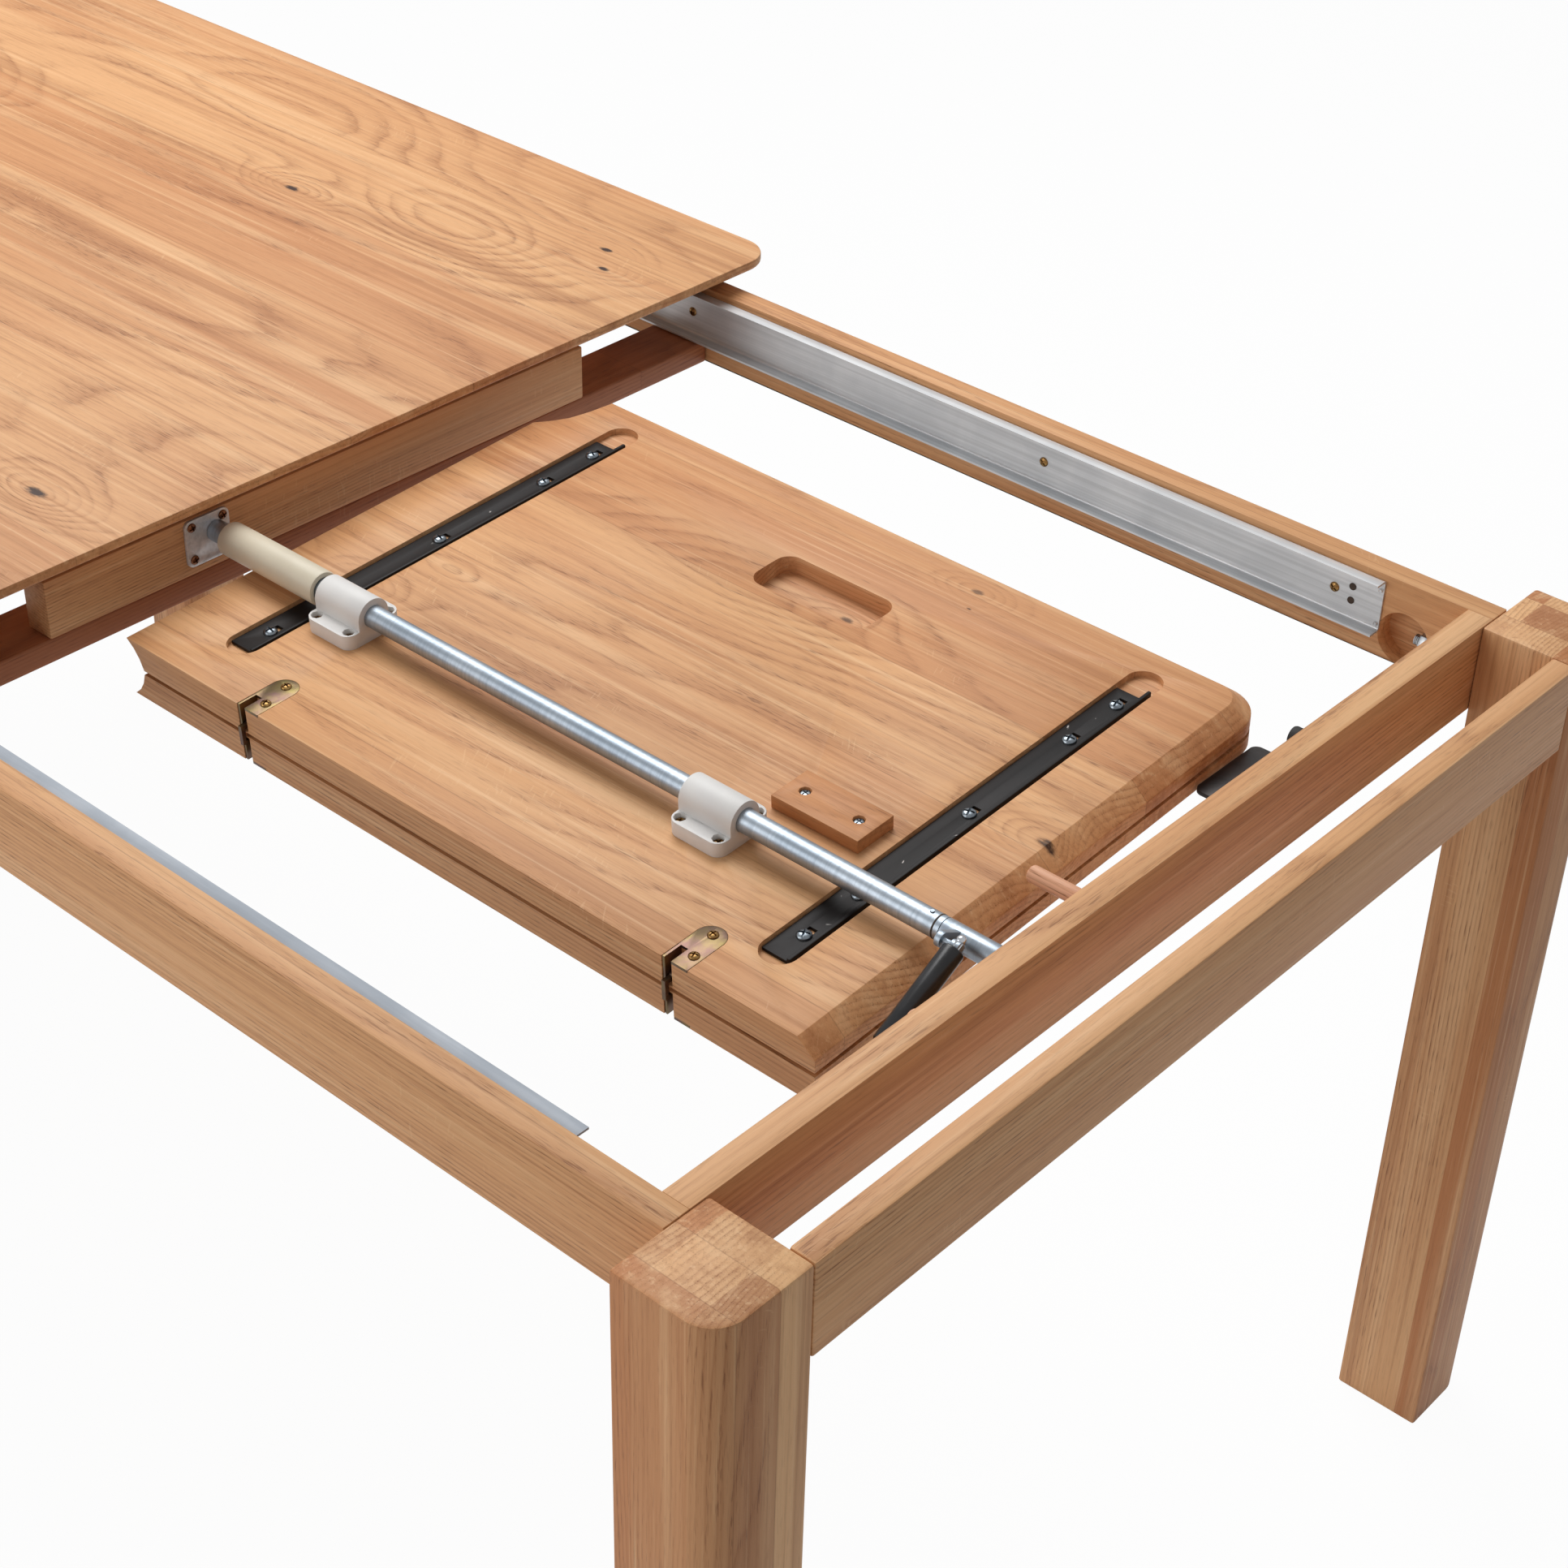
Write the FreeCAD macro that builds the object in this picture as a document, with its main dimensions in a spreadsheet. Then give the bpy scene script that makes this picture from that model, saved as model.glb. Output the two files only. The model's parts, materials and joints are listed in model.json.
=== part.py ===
import FreeCAD, Part
import math
import os
import re

import Sketcher
from FreeCAD import Placement, Rotation, Vector

# Draw leaf table. Axes: X along the table, + towards the leaf end. Y across, + to the far side.
# Z up from the floor. Sizes in millimetres. Lengths along X are counted back from the leaf end.

os.makedirs("parts", exist_ok=True)
doc = FreeCAD.newDocument("DrawLeafTable")
dims = doc.addObject("Spreadsheet::Sheet", "Dims")

SIZES = [
    # overall
    ("frame_length", 1600),
    ("frame_width", 900),
    ("leg_height", 722),
    ("top_thick", 21),
    ("top_gap", 0.5),
    ("top_travel", 777),
    ("top_corner", 30),
    ("bevel_run", 11),
    ("bevel_rise", 13),
    ("rim_run", 21),
    ("rim_rise", 14),
    # frame
    ("leg_side", 72),
    ("leg_round", 22),
    ("apron_thick", 19),
    ("apron_height", 65),
    ("apron_inset", 39),
    ("end_thick", 18),
    ("end_height", 66),
    ("cross_thick", 19),
    ("cross_height", 66),
    ("middle_x", 799),
    ("middle_thick", 19),
    ("middle_drop", 22),
    ("middle_height", 43),
    ("middle_chamfer", 3),
    ("pivot_proud", 1),
    ("pivot_thick", 25),
    ("pivot_length", 500),
    ("pivot_drop", 2),
    ("pivot_height", 44),
    ("bolt_x", 136),
    ("bolt_drop", 44),
    ("bolt_pocket", 40),
    ("bolt_pocket_depth", 16),
    ("bolt_in", 8),
    ("bolt_dia", 8),
    ("bolt_length", 88),
    ("nut_high", 7),
    ("hole_play", 0.6),
    ("screw_dia", 3),
    ("bar_head", 9),
    ("bar_screw", 13),
    ("block_head", 7.4),
    ("block_screw", 20),
    ("hinge_head", 6.4),
    ("hinge_screw", 15),
    ("rail_head", 7.4),
    ("rail_screw", 12),
    ("batten_screw", 32),
    ("fitting_head", 6.6),
    ("fitting_screw", 13),
    ("head_high", 2),
    ("flat_head_high", 1.6),
    ("pilot_deep", 16),
    # slides
    ("rail_start", 155),
    ("rail_drop", 4),
    ("hole_rise", 5),
    ("spare_hole", 5),
    ("rail_height", 51),
    ("rail_depth", 12),
    ("rail_sheet", 1.5),
    ("rail_lip", 4),
    ("runner_sheet", 1.5),
    ("runner_gap", 6.5),
    ("runner_depth", 5),
    ("batten_start", 120),
    ("batten_clear", 12),
    ("batten_wide", 23),
    ("batten_high", 22),
    ("ball_dia", 5.6),
    ("cage_length", 200),
    ("cage_sheet", 1.2),
    # turning tube
    ("tube_offset", 110),
    ("tube_drop", 17),
    ("tube_dia", 16),
    ("tube_wall", 1.6),
    ("tube_play", 0.05),
    ("tube_start", 794.8),
    ("tube_joint", 137),
    ("tube_stop", 92.5),
    ("spigot_dia", 8),
    ("sleeve_start", 779),
    ("sleeve_end", 681),
    ("sleeve_dia", 25),
    ("flange_wide", 38),
    ("flange_high", 36),
    ("flange_thick", 2.5),
    ("flange_shift", 6.5),
    ("flange_low", 3.5),
    ("flange_round", 5),
    # leaf, folded in two
    ("stow_tilt", 3.3),
    ("leaf_end", 141),
    ("leaf_length", 603),
    ("leaf_tip", 14),
    ("leaf_thick", 21),
    ("leaf_split", 1),
    ("leaf_gap", 3),
    ("relief_long", 73),
    ("relief_deep", 11.5),
    ("groove_wide", 26),
    ("groove_depth", 5),
    ("groove_start", 36),
    ("groove_end", 418),
    ("groove_left", 693),
    ("groove_right", 211),
    ("bar_wide", 22),
    ("bar_sheet", 2.5),
    ("bar_start", 46),
    ("bar_end", 392),
    ("bar_lip_over", 8),
    ("grip_x", 442),
    ("grip_length", 102),
    ("grip_wide", 43),
    ("grip_u", 347.5),
    ("grip_depth", 14),
    ("grip_round", 12),
    ("block_left", 653),
    ("block_right", 316),
    ("block_long", 44),
    ("block_wide", 48),
    ("block_base", 11),
    ("block_hump", 26),
    ("block_round", 8),
    ("block_cup", 8.6),
    ("cup_deep", 5),
    ("stop_cup", 8.4),
    ("stop_x", 270.5),
    ("stop_long", 71),
    ("stop_wide", 34),
    ("stop_high", 10),
    ("stop_u", 162.5),
    ("hinge_left", 632.5),
    ("hinge_right", 249.5),
    ("hinge_wide", 21),
    ("hinge_long", 41),
    ("hinge_sheet", 2),
    ("hinge_slot", 8),
    ("slot_long", 15),
    ("slot_skin", 1),
    ("pin_depth", 4.5),
    ("pin_dia", 3),
    ("ear_sheet", 1.8),
    ("link_sheet", 3),
    ("link_band", 3),
    ("link_bulge", 9),
    # gas spring
    ("gas_x", 114),
    ("crank", 21.5),
    ("crank_angle", 151),
    ("ball_stud", 8),
    ("gas_dia", 12),
    ("gas_body", 72),
    ("gas_rod_dia", 6),
    ("gas_rod_in", 50),
    ("gas_length", 140),
    ("gas_slope", 26),
    ("gas_eye", 12),
    ("gas_eye_thick", 11),
    ("bracket_sheet", 3),
    ("bracket_round", 4),
    ("bracket_wide", 18),
    ("bracket_high", 34),
    ("bracket_low", 8),
    # end fittings
    ("dowel_dia", 9),
    ("dowel_out", 43),
    ("dowel_in", 12),
    ("dowel_drop", 15),
    ("dowel_spread", 76),
    ("rest_wide", 70),
    ("rest_in", 48),
    ("rest_drop", 48),
    ("rest_sheet", 3),
    ("rest_lip", 22),
    ("rest_clear", 1.5),
    ("buffer_dia", 14),
    ("buffer_out", 11),
    ("buffer_in", 34),
    ("buffer_drop", 13),
]
for row, (alias, value) in enumerate(SIZES, start=1):
    dims.set("A%d" % row, alias)
    dims.set("B%d" % row, str(value))
    dims.setAlias("B%d" % row, alias)
doc.recompute()
V = dict(SIZES)
WORDS = set(V)


def ex(text):
    """The expression with each size name pointed at the sheet."""
    return re.sub(r"[a-z][a-z_]*", lambda m: "Dims." + m.group() if m.group() in WORDS else m.group(), str(text))


# Shared places, as expressions on the sheet
END_X = "(frame_length + top_travel) / 2"
TUBE_Y = "(0 - tube_offset)"
TUBE_Z = "(leg_height - tube_drop)"
INNER_X = "(leg_side + cross_thick)"
RAIL_LONG = "(frame_length - 2 * rail_start)"
BATTEN_LONG = "(frame_length - %s - batten_start - top_travel - batten_clear)" % INNER_X
APRON_Y = "(frame_width / 2 - apron_inset - apron_thick)"
FACE_A = "(0 - tube_drop - top_gap)"
BACK_A = "(0 - tube_drop - top_gap - leaf_thick)"
FACE_B = "(0 - tube_drop - top_gap - 2 * leaf_thick - leaf_gap)"
BACK_B = "(0 - tube_drop - top_gap - leaf_thick - leaf_gap)"
HOLE = "(screw_dia + hole_play)"
BOLT_HOLE = "((bolt_dia + hole_play) * sqrt(2))"
PIN_IN = "(pin_depth + (leaf_gap - leaf_split) / 2)"


def newBody(label, x=END_X, y="0", z="0", tilt=None):
    body = doc.addObject("PartDesign::Body", label)
    body.Label = label
    body.setExpression("Placement.Base.x", ex(x))
    body.setExpression("Placement.Base.y", ex(y))
    body.setExpression("Placement.Base.z", ex(z))
    if tilt:
        body.Placement.Rotation = Rotation(Vector(1, 0, 0), 1)
        body.setExpression("Placement.Rotation.Angle", ex(tilt))
    return body


def leafBody(label):
    """A piece drawn in the leaf's own frame: origin on the tube's axis, Y across the leaf, Z off its face."""
    return newBody(label, END_X, TUBE_Y, TUBE_Z, "stow_tilt")


def newSketch(body, name, plane, offset="0"):
    sketch = body.newObject("Sketcher::SketchObject", body.Label + "_" + name)
    origin = [f for f in body.Origin.OriginFeatures if f.Role == plane][0]
    sketch.AttachmentSupport = [(origin, "")]
    sketch.MapMode = "FlatFace"
    sketch.setExpression("AttachmentOffset.Base.z", ex(offset))
    return sketch


def placed(item, end, x, y):
    """The two rules that hold a point of a sketch at a pair of expressions."""
    return [
        (Sketcher.Constraint("DistanceX", -1, 1, item, end, 1.0), x),
        (Sketcher.Constraint("DistanceY", -1, 1, item, end, 1.0), y),
    ]


def constrain(sketch, rules):
    indices = sketch.addConstraint([rule for rule, text in rules])
    for index, (rule, text) in zip(indices, rules):
        if text is not None:
            sketch.setExpression("Constraints[%d]" % index, ex(text))


def closedRing(first, count):
    lines = [first + i for i in range(count)]
    return [(Sketcher.Constraint("Coincident", n, 2, lines[i - count + 1], 1), None) for i, n in enumerate(lines)]


def polygon(body, name, plane, points, offset="0"):
    """A closed outline whose corners are each placed by two expressions."""
    sketch = newSketch(body, name, plane, offset)
    count = len(points)
    ring = [Vector(math.cos(6.28 * i / count), math.sin(6.28 * i / count), 0) for i in range(count)]
    sketch.addGeometry([Part.LineSegment(ring[i], ring[(i + 1) % count]) for i in range(count)], False)
    rules = closedRing(0, count)
    for i, (x, y) in enumerate(points):
        rules += placed(i, 1, x, y)
    constrain(sketch, rules)
    return sketch


def rect(body, name, plane, x0, y0, x1, y1, offset="0"):
    return polygon(body, name, plane, [(x0, y0), (x1, y0), (x1, y1), (x0, y1)], offset)


def circles(body, name, plane, spots, offset="0"):
    """Circles from (x, y, diameter) expressions."""
    sketch = newSketch(body, name, plane, offset)
    rules = []
    for i, (x, y, dia) in enumerate(spots):
        sketch.addGeometry(Part.Circle(Vector(i, 0, 0), Vector(0, 0, 1), 0.4), False)
        rules += placed(i, 3, x, y)
        rules.append((Sketcher.Constraint("Diameter", i, 0.8), dia))
    constrain(sketch, rules)
    return sketch


def fewSided(body, name, plane, spots, offset="0", sides=4):
    """Screw holes from (x, y, size across corners) expressions, with few sides because there are many."""
    sketch = newSketch(body, name, plane, offset)
    rules = []
    for i, (x, y, across) in enumerate(spots):
        angles = [360 / sides * n for n in range(sides)]
        ring = [Vector(3 * i + math.cos(math.radians(a)), math.sin(math.radians(a)), 0) for a in angles]
        sketch.addGeometry([Part.LineSegment(ring[n - 1], ring[n]) for n in range(sides)], False)
        rules += closedRing(sides * i, sides)
        for n, angle in enumerate(angles):
            dx = "%s + (%s) / 2 * cos(%g deg)" % (x, across, angle)
            dy = "%s + (%s) / 2 * sin(%g deg)" % (y, across, angle)
            rules += placed(sides * i + n, 2, dx, dy)
    constrain(sketch, rules)
    return sketch


def pad(sketch, length, back=False):
    body = sketch.getParentGeoFeatureGroup()
    feature = body.newObject("PartDesign::Pad", sketch.Name + "_pad")
    feature.Profile = sketch
    feature.setExpression("Length", ex(length))
    feature.Reversed = back
    sketch.Visibility = False
    doc.recompute()
    return feature


def pocket(sketch, length, back=False):
    """A cut; it has to take material away."""
    body = sketch.getParentGeoFeatureGroup()
    before = body.Shape.Volume
    feature = body.newObject("PartDesign::Pocket", sketch.Name + "_cut")
    feature.Profile = sketch
    feature.setExpression("Length", ex(length))
    feature.Reversed = back
    sketch.Visibility = False
    doc.recompute()
    if feature.Shape.Volume > before - 0.01:
        raise ValueError("nothing cut by " + feature.Name)
    return feature


def edgesWhere(feature, test):
    return ["Edge%d" % (i + 1) for i, e in enumerate(feature.Shape.Edges) if test(e)]


def runsAlong(edge, axis):
    if len(edge.Vertexes) != 2:
        return False
    step = edge.Vertexes[1].Point.sub(edge.Vertexes[0].Point)
    return step.Length > 1e-6 and abs(step.normalize().dot(axis)) > 0.9999


def dress(feature, kind, names, **sizes):
    body = feature.getParentGeoFeatureGroup()
    if not names:
        raise ValueError("no edges for " + feature.Name)
    obj = body.newObject("PartDesign::" + kind, feature.Name + "_" + kind.lower())
    obj.Base = (feature, names)
    for key, value in sizes.items():
        if isinstance(value, str):
            obj.setExpression(key, ex(value))
        else:
            setattr(obj, key, value)
    doc.recompute()
    return obj


def several(label, solid, places):
    """One node that holds a copy of the same small solid at each place."""
    node = doc.addObject("Part::Feature", label)
    node.Label = label
    copies = []
    for place in places:
        one = solid.copy()
        one.Placement = place.multiply(one.Placement)
        copies.append(one)
    node.Shape = Part.makeCompound(copies)
    return node


def near(value, target, room=0.01):
    return abs(value - target) < room


# Numbers that the copied fasteners share with the sheet
endX = (V["frame_length"] + V["top_travel"]) / 2
tubeY = -V["tube_offset"]
tubeZ = V["leg_height"] - V["tube_drop"]
innerX = endX - V["leg_side"] - V["cross_thick"]
foldY = -V["tube_offset"] + V["leaf_split"] / 2
faceA = -V["tube_drop"] - V["top_gap"]
faceB = faceA - 2 * V["leaf_thick"] - V["leaf_gap"]
leafPlace = Placement(Vector(endX, tubeY, tubeZ), Rotation(Vector(1, 0, 0), V["stow_tilt"]))
X_AXIS = Vector(1, 0, 0)
Y_AXIS = Vector(0, 1, 0)
Z_AXIS = Vector(0, 0, 1)

# ---- legs: square, with the outer upright corner rounded
for endName, farEnd in (("right", False), ("left", True)):
    for sideName, side in (("near", -1), ("far", 1)):
        xBase = END_X + " - frame_length" if farEnd else END_X + " - leg_side"
        yBase = "0 - frame_width / 2" if side < 0 else "frame_width / 2 - leg_side"
        leg = newBody("leg_%s_%s" % (sideName, endName), xBase, yBase)
        block = pad(rect(leg, "plan", "XY_Plane", "0", "0", "leg_side", "leg_side"), "leg_height")
        outerX = 0 if farEnd else V["leg_side"]
        outerY = 0 if side < 0 else V["leg_side"]
        corner = edgesWhere(
            block,
            lambda e: runsAlong(e, Z_AXIS) and near(e.Vertexes[0].X, outerX) and near(e.Vertexes[0].Y, outerY),
        )
        dress(block, "Fillet", corner, Radius="leg_round")
        boltY = "apron_inset + apron_thick - bolt_in"
        if side > 0:
            boltY = "leg_side - (%s)" % boltY
        start = "leg_side" if farEnd else "0"
        hole = fewSided(leg, "bolt", "YZ_Plane", [(boltY, "leg_height - bolt_drop", BOLT_HOLE)], start)
        pocket(hole, "bolt_length / 2 - 8", back=not farEnd)

# ---- side aprons, with a round pocket by each leg for the bolt's nut
for sideName, side in (("near", -1), ("far", 1)):
    inner = "(0 - frame_width / 2 + apron_inset + apron_thick)" if side < 0 else APRON_Y
    outer = "(0 - frame_width / 2 + apron_inset)" if side < 0 else "(frame_width / 2 - apron_inset)"
    apron = newBody("side_apron_" + sideName, END_X, "0", "leg_height")
    pad(
        rect(apron, "plan", "XY_Plane", "leg_side - frame_length", inner, "0 - leg_side", outer, "0 - apron_height"),
        "apron_height",
    )
    cups = circles(
        apron,
        "cups",
        "XZ_Plane",
        [("0 - bolt_x", "0 - bolt_drop", "bolt_pocket"), ("bolt_x - frame_length", "0 - bolt_drop", "bolt_pocket")],
        "0 - (%s)" % inner,
    )
    pocket(cups, "bolt_pocket_depth", back=side < 0)
    middle = "%s - bolt_in" % inner if side < 0 else "%s + bolt_in" % inner
    bore = fewSided(apron, "boreA", "YZ_Plane", [(middle, "0 - bolt_drop", BOLT_HOLE)], "0 - leg_side")
    pocket(bore, "bolt_x - leg_side")
    bore = fewSided(apron, "boreB", "YZ_Plane", [(middle, "0 - bolt_drop", BOLT_HOLE)], "leg_side - frame_length")
    pocket(bore, "bolt_x - leg_side", back=True)

# ---- end aprons and the crossbars behind the legs
for endName, flip in (("right", False), ("left", True)):
    x0 = "0 - frame_length" if flip else "0 - end_thick"
    x1 = "end_thick - frame_length" if flip else "0"
    edge = "(frame_width / 2 - leg_side)"
    apron = newBody("end_apron_" + endName, END_X, "0", "leg_height")
    plan = rect(apron, "plan", "XY_Plane", x0, "0 - " + edge, x1, edge, "0 - end_height")
    pad(plan, "end_height")
    x0 = "leg_side - frame_length" if flip else "0 - leg_side - cross_thick"
    x1 = "leg_side + cross_thick - frame_length" if flip else "0 - leg_side"
    bar = newBody("crossbar_" + endName, END_X, "0", "leg_height")
    pad(rect(bar, "plan", "XY_Plane", x0, "0 - " + APRON_Y, x1, APRON_Y, "0 - cross_height"), "cross_height")
    if not flip:
        sockets = [
            (TUBE_Y + " + dowel_spread", "0 - dowel_drop", "dowel_dia * 1.1"),
            (TUBE_Y + " - dowel_spread", "0 - dowel_drop", "dowel_dia * 1.1"),
        ]
        pocket(fewSided(bar, "dowels", "YZ_Plane", sockets, "0 - " + INNER_X, 8), "dowel_in", back=True)
        socket = circles(
            bar, "spigot", "YZ_Plane", [(TUBE_Y, "0 - tube_drop", "spigot_dia + hole_play")], "0 - " + INNER_X
        )
        pocket(socket, "12", back=True)

# ---- middle crossbar: its ends step under the slides, its top is cut down to seat the pivot rail
bar = newBody("crossbar_middle", END_X, "0", "leg_height")
plan = rect(
    bar,
    "plan",
    "XY_Plane",
    "0 - middle_x - middle_thick",
    "0 - " + APRON_Y,
    "0 - middle_x",
    APRON_Y,
    "0 - middle_drop - middle_height",
)
block = pad(plan, "middle_height")
bottom = -V["middle_drop"] - V["middle_height"]
front = edgesWhere(
    block,
    lambda e: runsAlong(e, Y_AXIS) and near(e.Vertexes[0].Z, bottom) and near(e.Vertexes[0].X, -V["middle_x"]),
)
dress(block, "Chamfer", front, Size="middle_chamfer")
reach = "(frame_width / 2)"
clear = "(%s - rail_depth - 1)" % APRON_Y
for n, sign in enumerate(("", "0 - ")):
    step = rect(
        bar,
        "step%d" % n,
        "YZ_Plane",
        sign + clear,
        "0 - rail_drop - rail_height - 1",
        sign + reach,
        "1",
        "0 - middle_x + 1",
    )
    pocket(step, "middle_thick + 2")
seat = rect(
    bar,
    "seat",
    "YZ_Plane",
    "0 - pivot_length / 2",
    "0 - pivot_drop - pivot_height",
    "pivot_length / 2",
    "1",
    "0 - middle_x + 1",
)
pocket(seat, "middle_thick + 2")

# ---- pivot rail, seated in the middle crossbar and just proud of its face
bar = newBody("pivot_rail", END_X, "0", "leg_height")
plan = rect(
    bar,
    "plan",
    "XY_Plane",
    "pivot_proud - pivot_thick - middle_x",
    "0 - pivot_length / 2",
    "pivot_proud - middle_x",
    "pivot_length / 2",
    "0 - pivot_drop - pivot_height",
)
pad(plan, "pivot_height")

# ---- slides: outer channel on each apron, inner channel under the top, ball cages between
# Shares of the rail's length from its right end
RAIL_SCREWS = [0.03, 0.23, 0.51, 0.77, 0.97]
SPARE_HOLES = [0.045, 0.12, 0.34, 0.88]
for sideName, side in (("near", -1), ("far", 1)):
    s = "0 - " if side < 0 else ""
    back = s + APRON_Y
    rail = newBody("slide_outer_" + sideName, END_X, "0", "leg_height")
    inY = s + "(%s - rail_depth)" % APRON_Y
    webY = s + "(%s - rail_sheet)" % APRON_Y
    top = "0 - rail_drop"
    low = "0 - rail_drop - rail_height"
    profile = [
        (back, top),
        (inY, top),
        (inY, top + " - rail_lip"),
        (s + "(%s - rail_depth + rail_sheet)" % APRON_Y, top + " - rail_lip"),
        (s + "(%s - rail_depth + rail_sheet)" % APRON_Y, top + " - rail_sheet"),
        (webY, top + " - rail_sheet"),
        (webY, low + " + rail_sheet"),
        (s + "(%s - rail_depth + rail_sheet)" % APRON_Y, low + " + rail_sheet"),
        (s + "(%s - rail_depth + rail_sheet)" % APRON_Y, low + " + rail_lip"),
        (inY, low + " + rail_lip"),
        (inY, low),
        (back, low),
    ]
    shape = pad(polygon(rail, "section", "YZ_Plane", profile, "0 - rail_start - " + RAIL_LONG), RAIL_LONG)
    outerEdges = edgesWhere(
        shape,
        lambda e: runsAlong(e, X_AXIS)
        and near(abs(e.Vertexes[0].Y), V["frame_width"] / 2 - V["apron_inset"] - V["apron_thick"] - V["rail_depth"])
        and (
            near(e.Vertexes[0].Z, -V["rail_drop"]) or near(e.Vertexes[0].Z, -V["rail_drop"] - V["rail_height"])
        ),
    )
    dress(shape, "Fillet", outerEdges, Radius=2.2)
    holeLevel = "0 - rail_drop - rail_height / 2 + hole_rise"
    screwed = [("0 - rail_start - %g * %s" % (share, RAIL_LONG), holeLevel, HOLE) for share in RAIL_SCREWS]
    spare = [("0 - rail_start - %g * %s" % (share, RAIL_LONG), holeLevel, "spare_hole") for share in SPARE_HOLES]
    outside = ("" if side < 0 else "0 - ") + "(%s + 1)" % APRON_Y
    pocket(fewSided(rail, "holes", "XZ_Plane", screwed, outside), "rail_sheet + 2", back=side > 0)
    pocket(fewSided(rail, "spare", "XZ_Plane", spare, outside, 8), "rail_sheet + 2", back=side > 0)
    pilot = fewSided(
        doc.getObject("side_apron_" + sideName),
        "pilots",
        "XZ_Plane",
        screwed,
        "0 - (%s)" % back,
    )
    pocket(pilot, "12", back=side < 0)

    runner = newBody("slide_inner_" + sideName, END_X + " - top_travel", "0", "leg_height")
    faceY = s + "(%s - rail_depth - 0.5)" % APRON_Y
    webIn = s + "(%s - rail_depth - 0.5 + runner_sheet)" % APRON_Y
    farY = s + "(%s - rail_depth - 0.5 + runner_depth)" % APRON_Y
    up = "0 - rail_drop - rail_sheet - runner_gap"
    dn = "0 - rail_drop - rail_height + rail_sheet + runner_gap"
    profile = [
        (faceY, up),
        (farY, up),
        (farY, up + " - runner_sheet"),
        (webIn, up + " - runner_sheet"),
        (webIn, dn + " + runner_sheet"),
        (farY, dn + " + runner_sheet"),
        (farY, dn),
        (faceY, dn),
    ]
    pad(polygon(runner, "section", "YZ_Plane", profile, "0 - batten_start - " + BATTEN_LONG), BATTEN_LONG)

    batten = newBody("runner_batten_" + sideName, END_X + " - top_travel", "0", "leg_height")
    plan = rect(
        batten,
        "plan",
        "XY_Plane",
        "0 - batten_start - " + BATTEN_LONG,
        faceY,
        "0 - batten_start",
        s + "(%s - rail_depth - 0.5 - batten_wide)" % APRON_Y,
        "top_gap - batten_high",
    )
    pad(plan, "batten_high")

for sideName, side in (("near", -1), ("far", 1)):
    s = "0 - " if side < 0 else ""
    cage = newBody("ball_cage_" + sideName, END_X + " - top_travel / 2", "0", "leg_height")
    inside = s + "(%s - rail_depth + rail_sheet + 0.4)" % APRON_Y
    web = s + "(%s - rail_depth - 0.5 + runner_depth + 0.6)" % APRON_Y
    back = s + "(%s - rail_depth - 0.5 + runner_depth + 0.6 + cage_sheet)" % APRON_Y
    up = "(0 - rail_drop - rail_sheet - runner_gap / 2 + cage_sheet / 2)"
    dn = "(0 - rail_drop - rail_height + rail_sheet + runner_gap / 2 - cage_sheet / 2)"
    profile = [
        (inside, up),
        (back, up),
        (back, dn),
        (inside, dn),
        (inside, dn + " + cage_sheet"),
        (web, dn + " + cage_sheet"),
        (web, up + " - cage_sheet"),
        (inside, up + " - cage_sheet"),
    ]
    start = "6 - batten_start - " + BATTEN_LONG
    pad(polygon(cage, "section", "YZ_Plane", profile, start), "cage_length")
    for n, level in enumerate((up + " - cage_sheet / 2", dn + " + cage_sheet / 2")):
        middle = start + " + cage_length / 2"
        spots = [(middle, level, "ball_dia"), (middle + " + cage_length / 4", level, "ball_dia")]
        rollers = fewSided(cage, "balls%d" % n, "XZ_Plane", spots, "0 - (%s)" % inside, 6)
        pad(rollers, "runner_gap - 3", back=side > 0)

# ---- turning tube: flange and spigot on the pivot rail, tube, end piece with crank, pin in the crossbar
flange = newBody("tube_flange", END_X, TUBE_Y, TUBE_Z)
FRONT = "(pivot_proud - middle_x)"
y0 = "(0 - flange_shift - flange_wide / 2)"
z0 = "(0 - flange_low - flange_high / 2)"
plate = pad(
    rect(flange, "plate", "YZ_Plane", y0, z0, y0 + " + flange_wide", z0 + " + flange_high", FRONT), "flange_thick"
)
dress(plate, "Fillet", edgesWhere(plate, lambda e: runsAlong(e, X_AXIS)), Radius="flange_round")
spigot = circles(flange, "spigot", "YZ_Plane", [("0", "0", "tube_dia - 2 * tube_wall - 2 * tube_play")], FRONT)
pad(spigot, "flange_thick + 20")
FLANGE_SCREWS = [(-20, 9.5), (7, 9.5), (-20, -16), (7, -16)]
flangeHoles = [("%g" % y, "%g" % z, HOLE) for y, z in FLANGE_SCREWS]
pocket(fewSided(flange, "holes", "YZ_Plane", flangeHoles, FRONT + " + flange_thick + 1"), "flange_thick + 2")
pilots = [(TUBE_Y + " + %g" % y, "0 - tube_drop + %g" % z, HOLE) for y, z in FLANGE_SCREWS]
pocket(fewSided(doc.pivot_rail, "pilots", "YZ_Plane", pilots, FRONT), "14")

tube = newBody("pivot_tube", END_X, TUBE_Y, TUBE_Z)
ring = circles(
    tube, "ring", "YZ_Plane", [("0", "0", "tube_dia"), ("0", "0", "tube_dia - 2 * tube_wall")], "0 - tube_start"
)
pad(ring, "tube_start - tube_joint")
pocket(circles(tube, "rivet", "XY_Plane", [("0 - tube_joint - 10", "0", "3")], "tube_dia / 2 + 1"), "tube_dia / 2")

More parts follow.
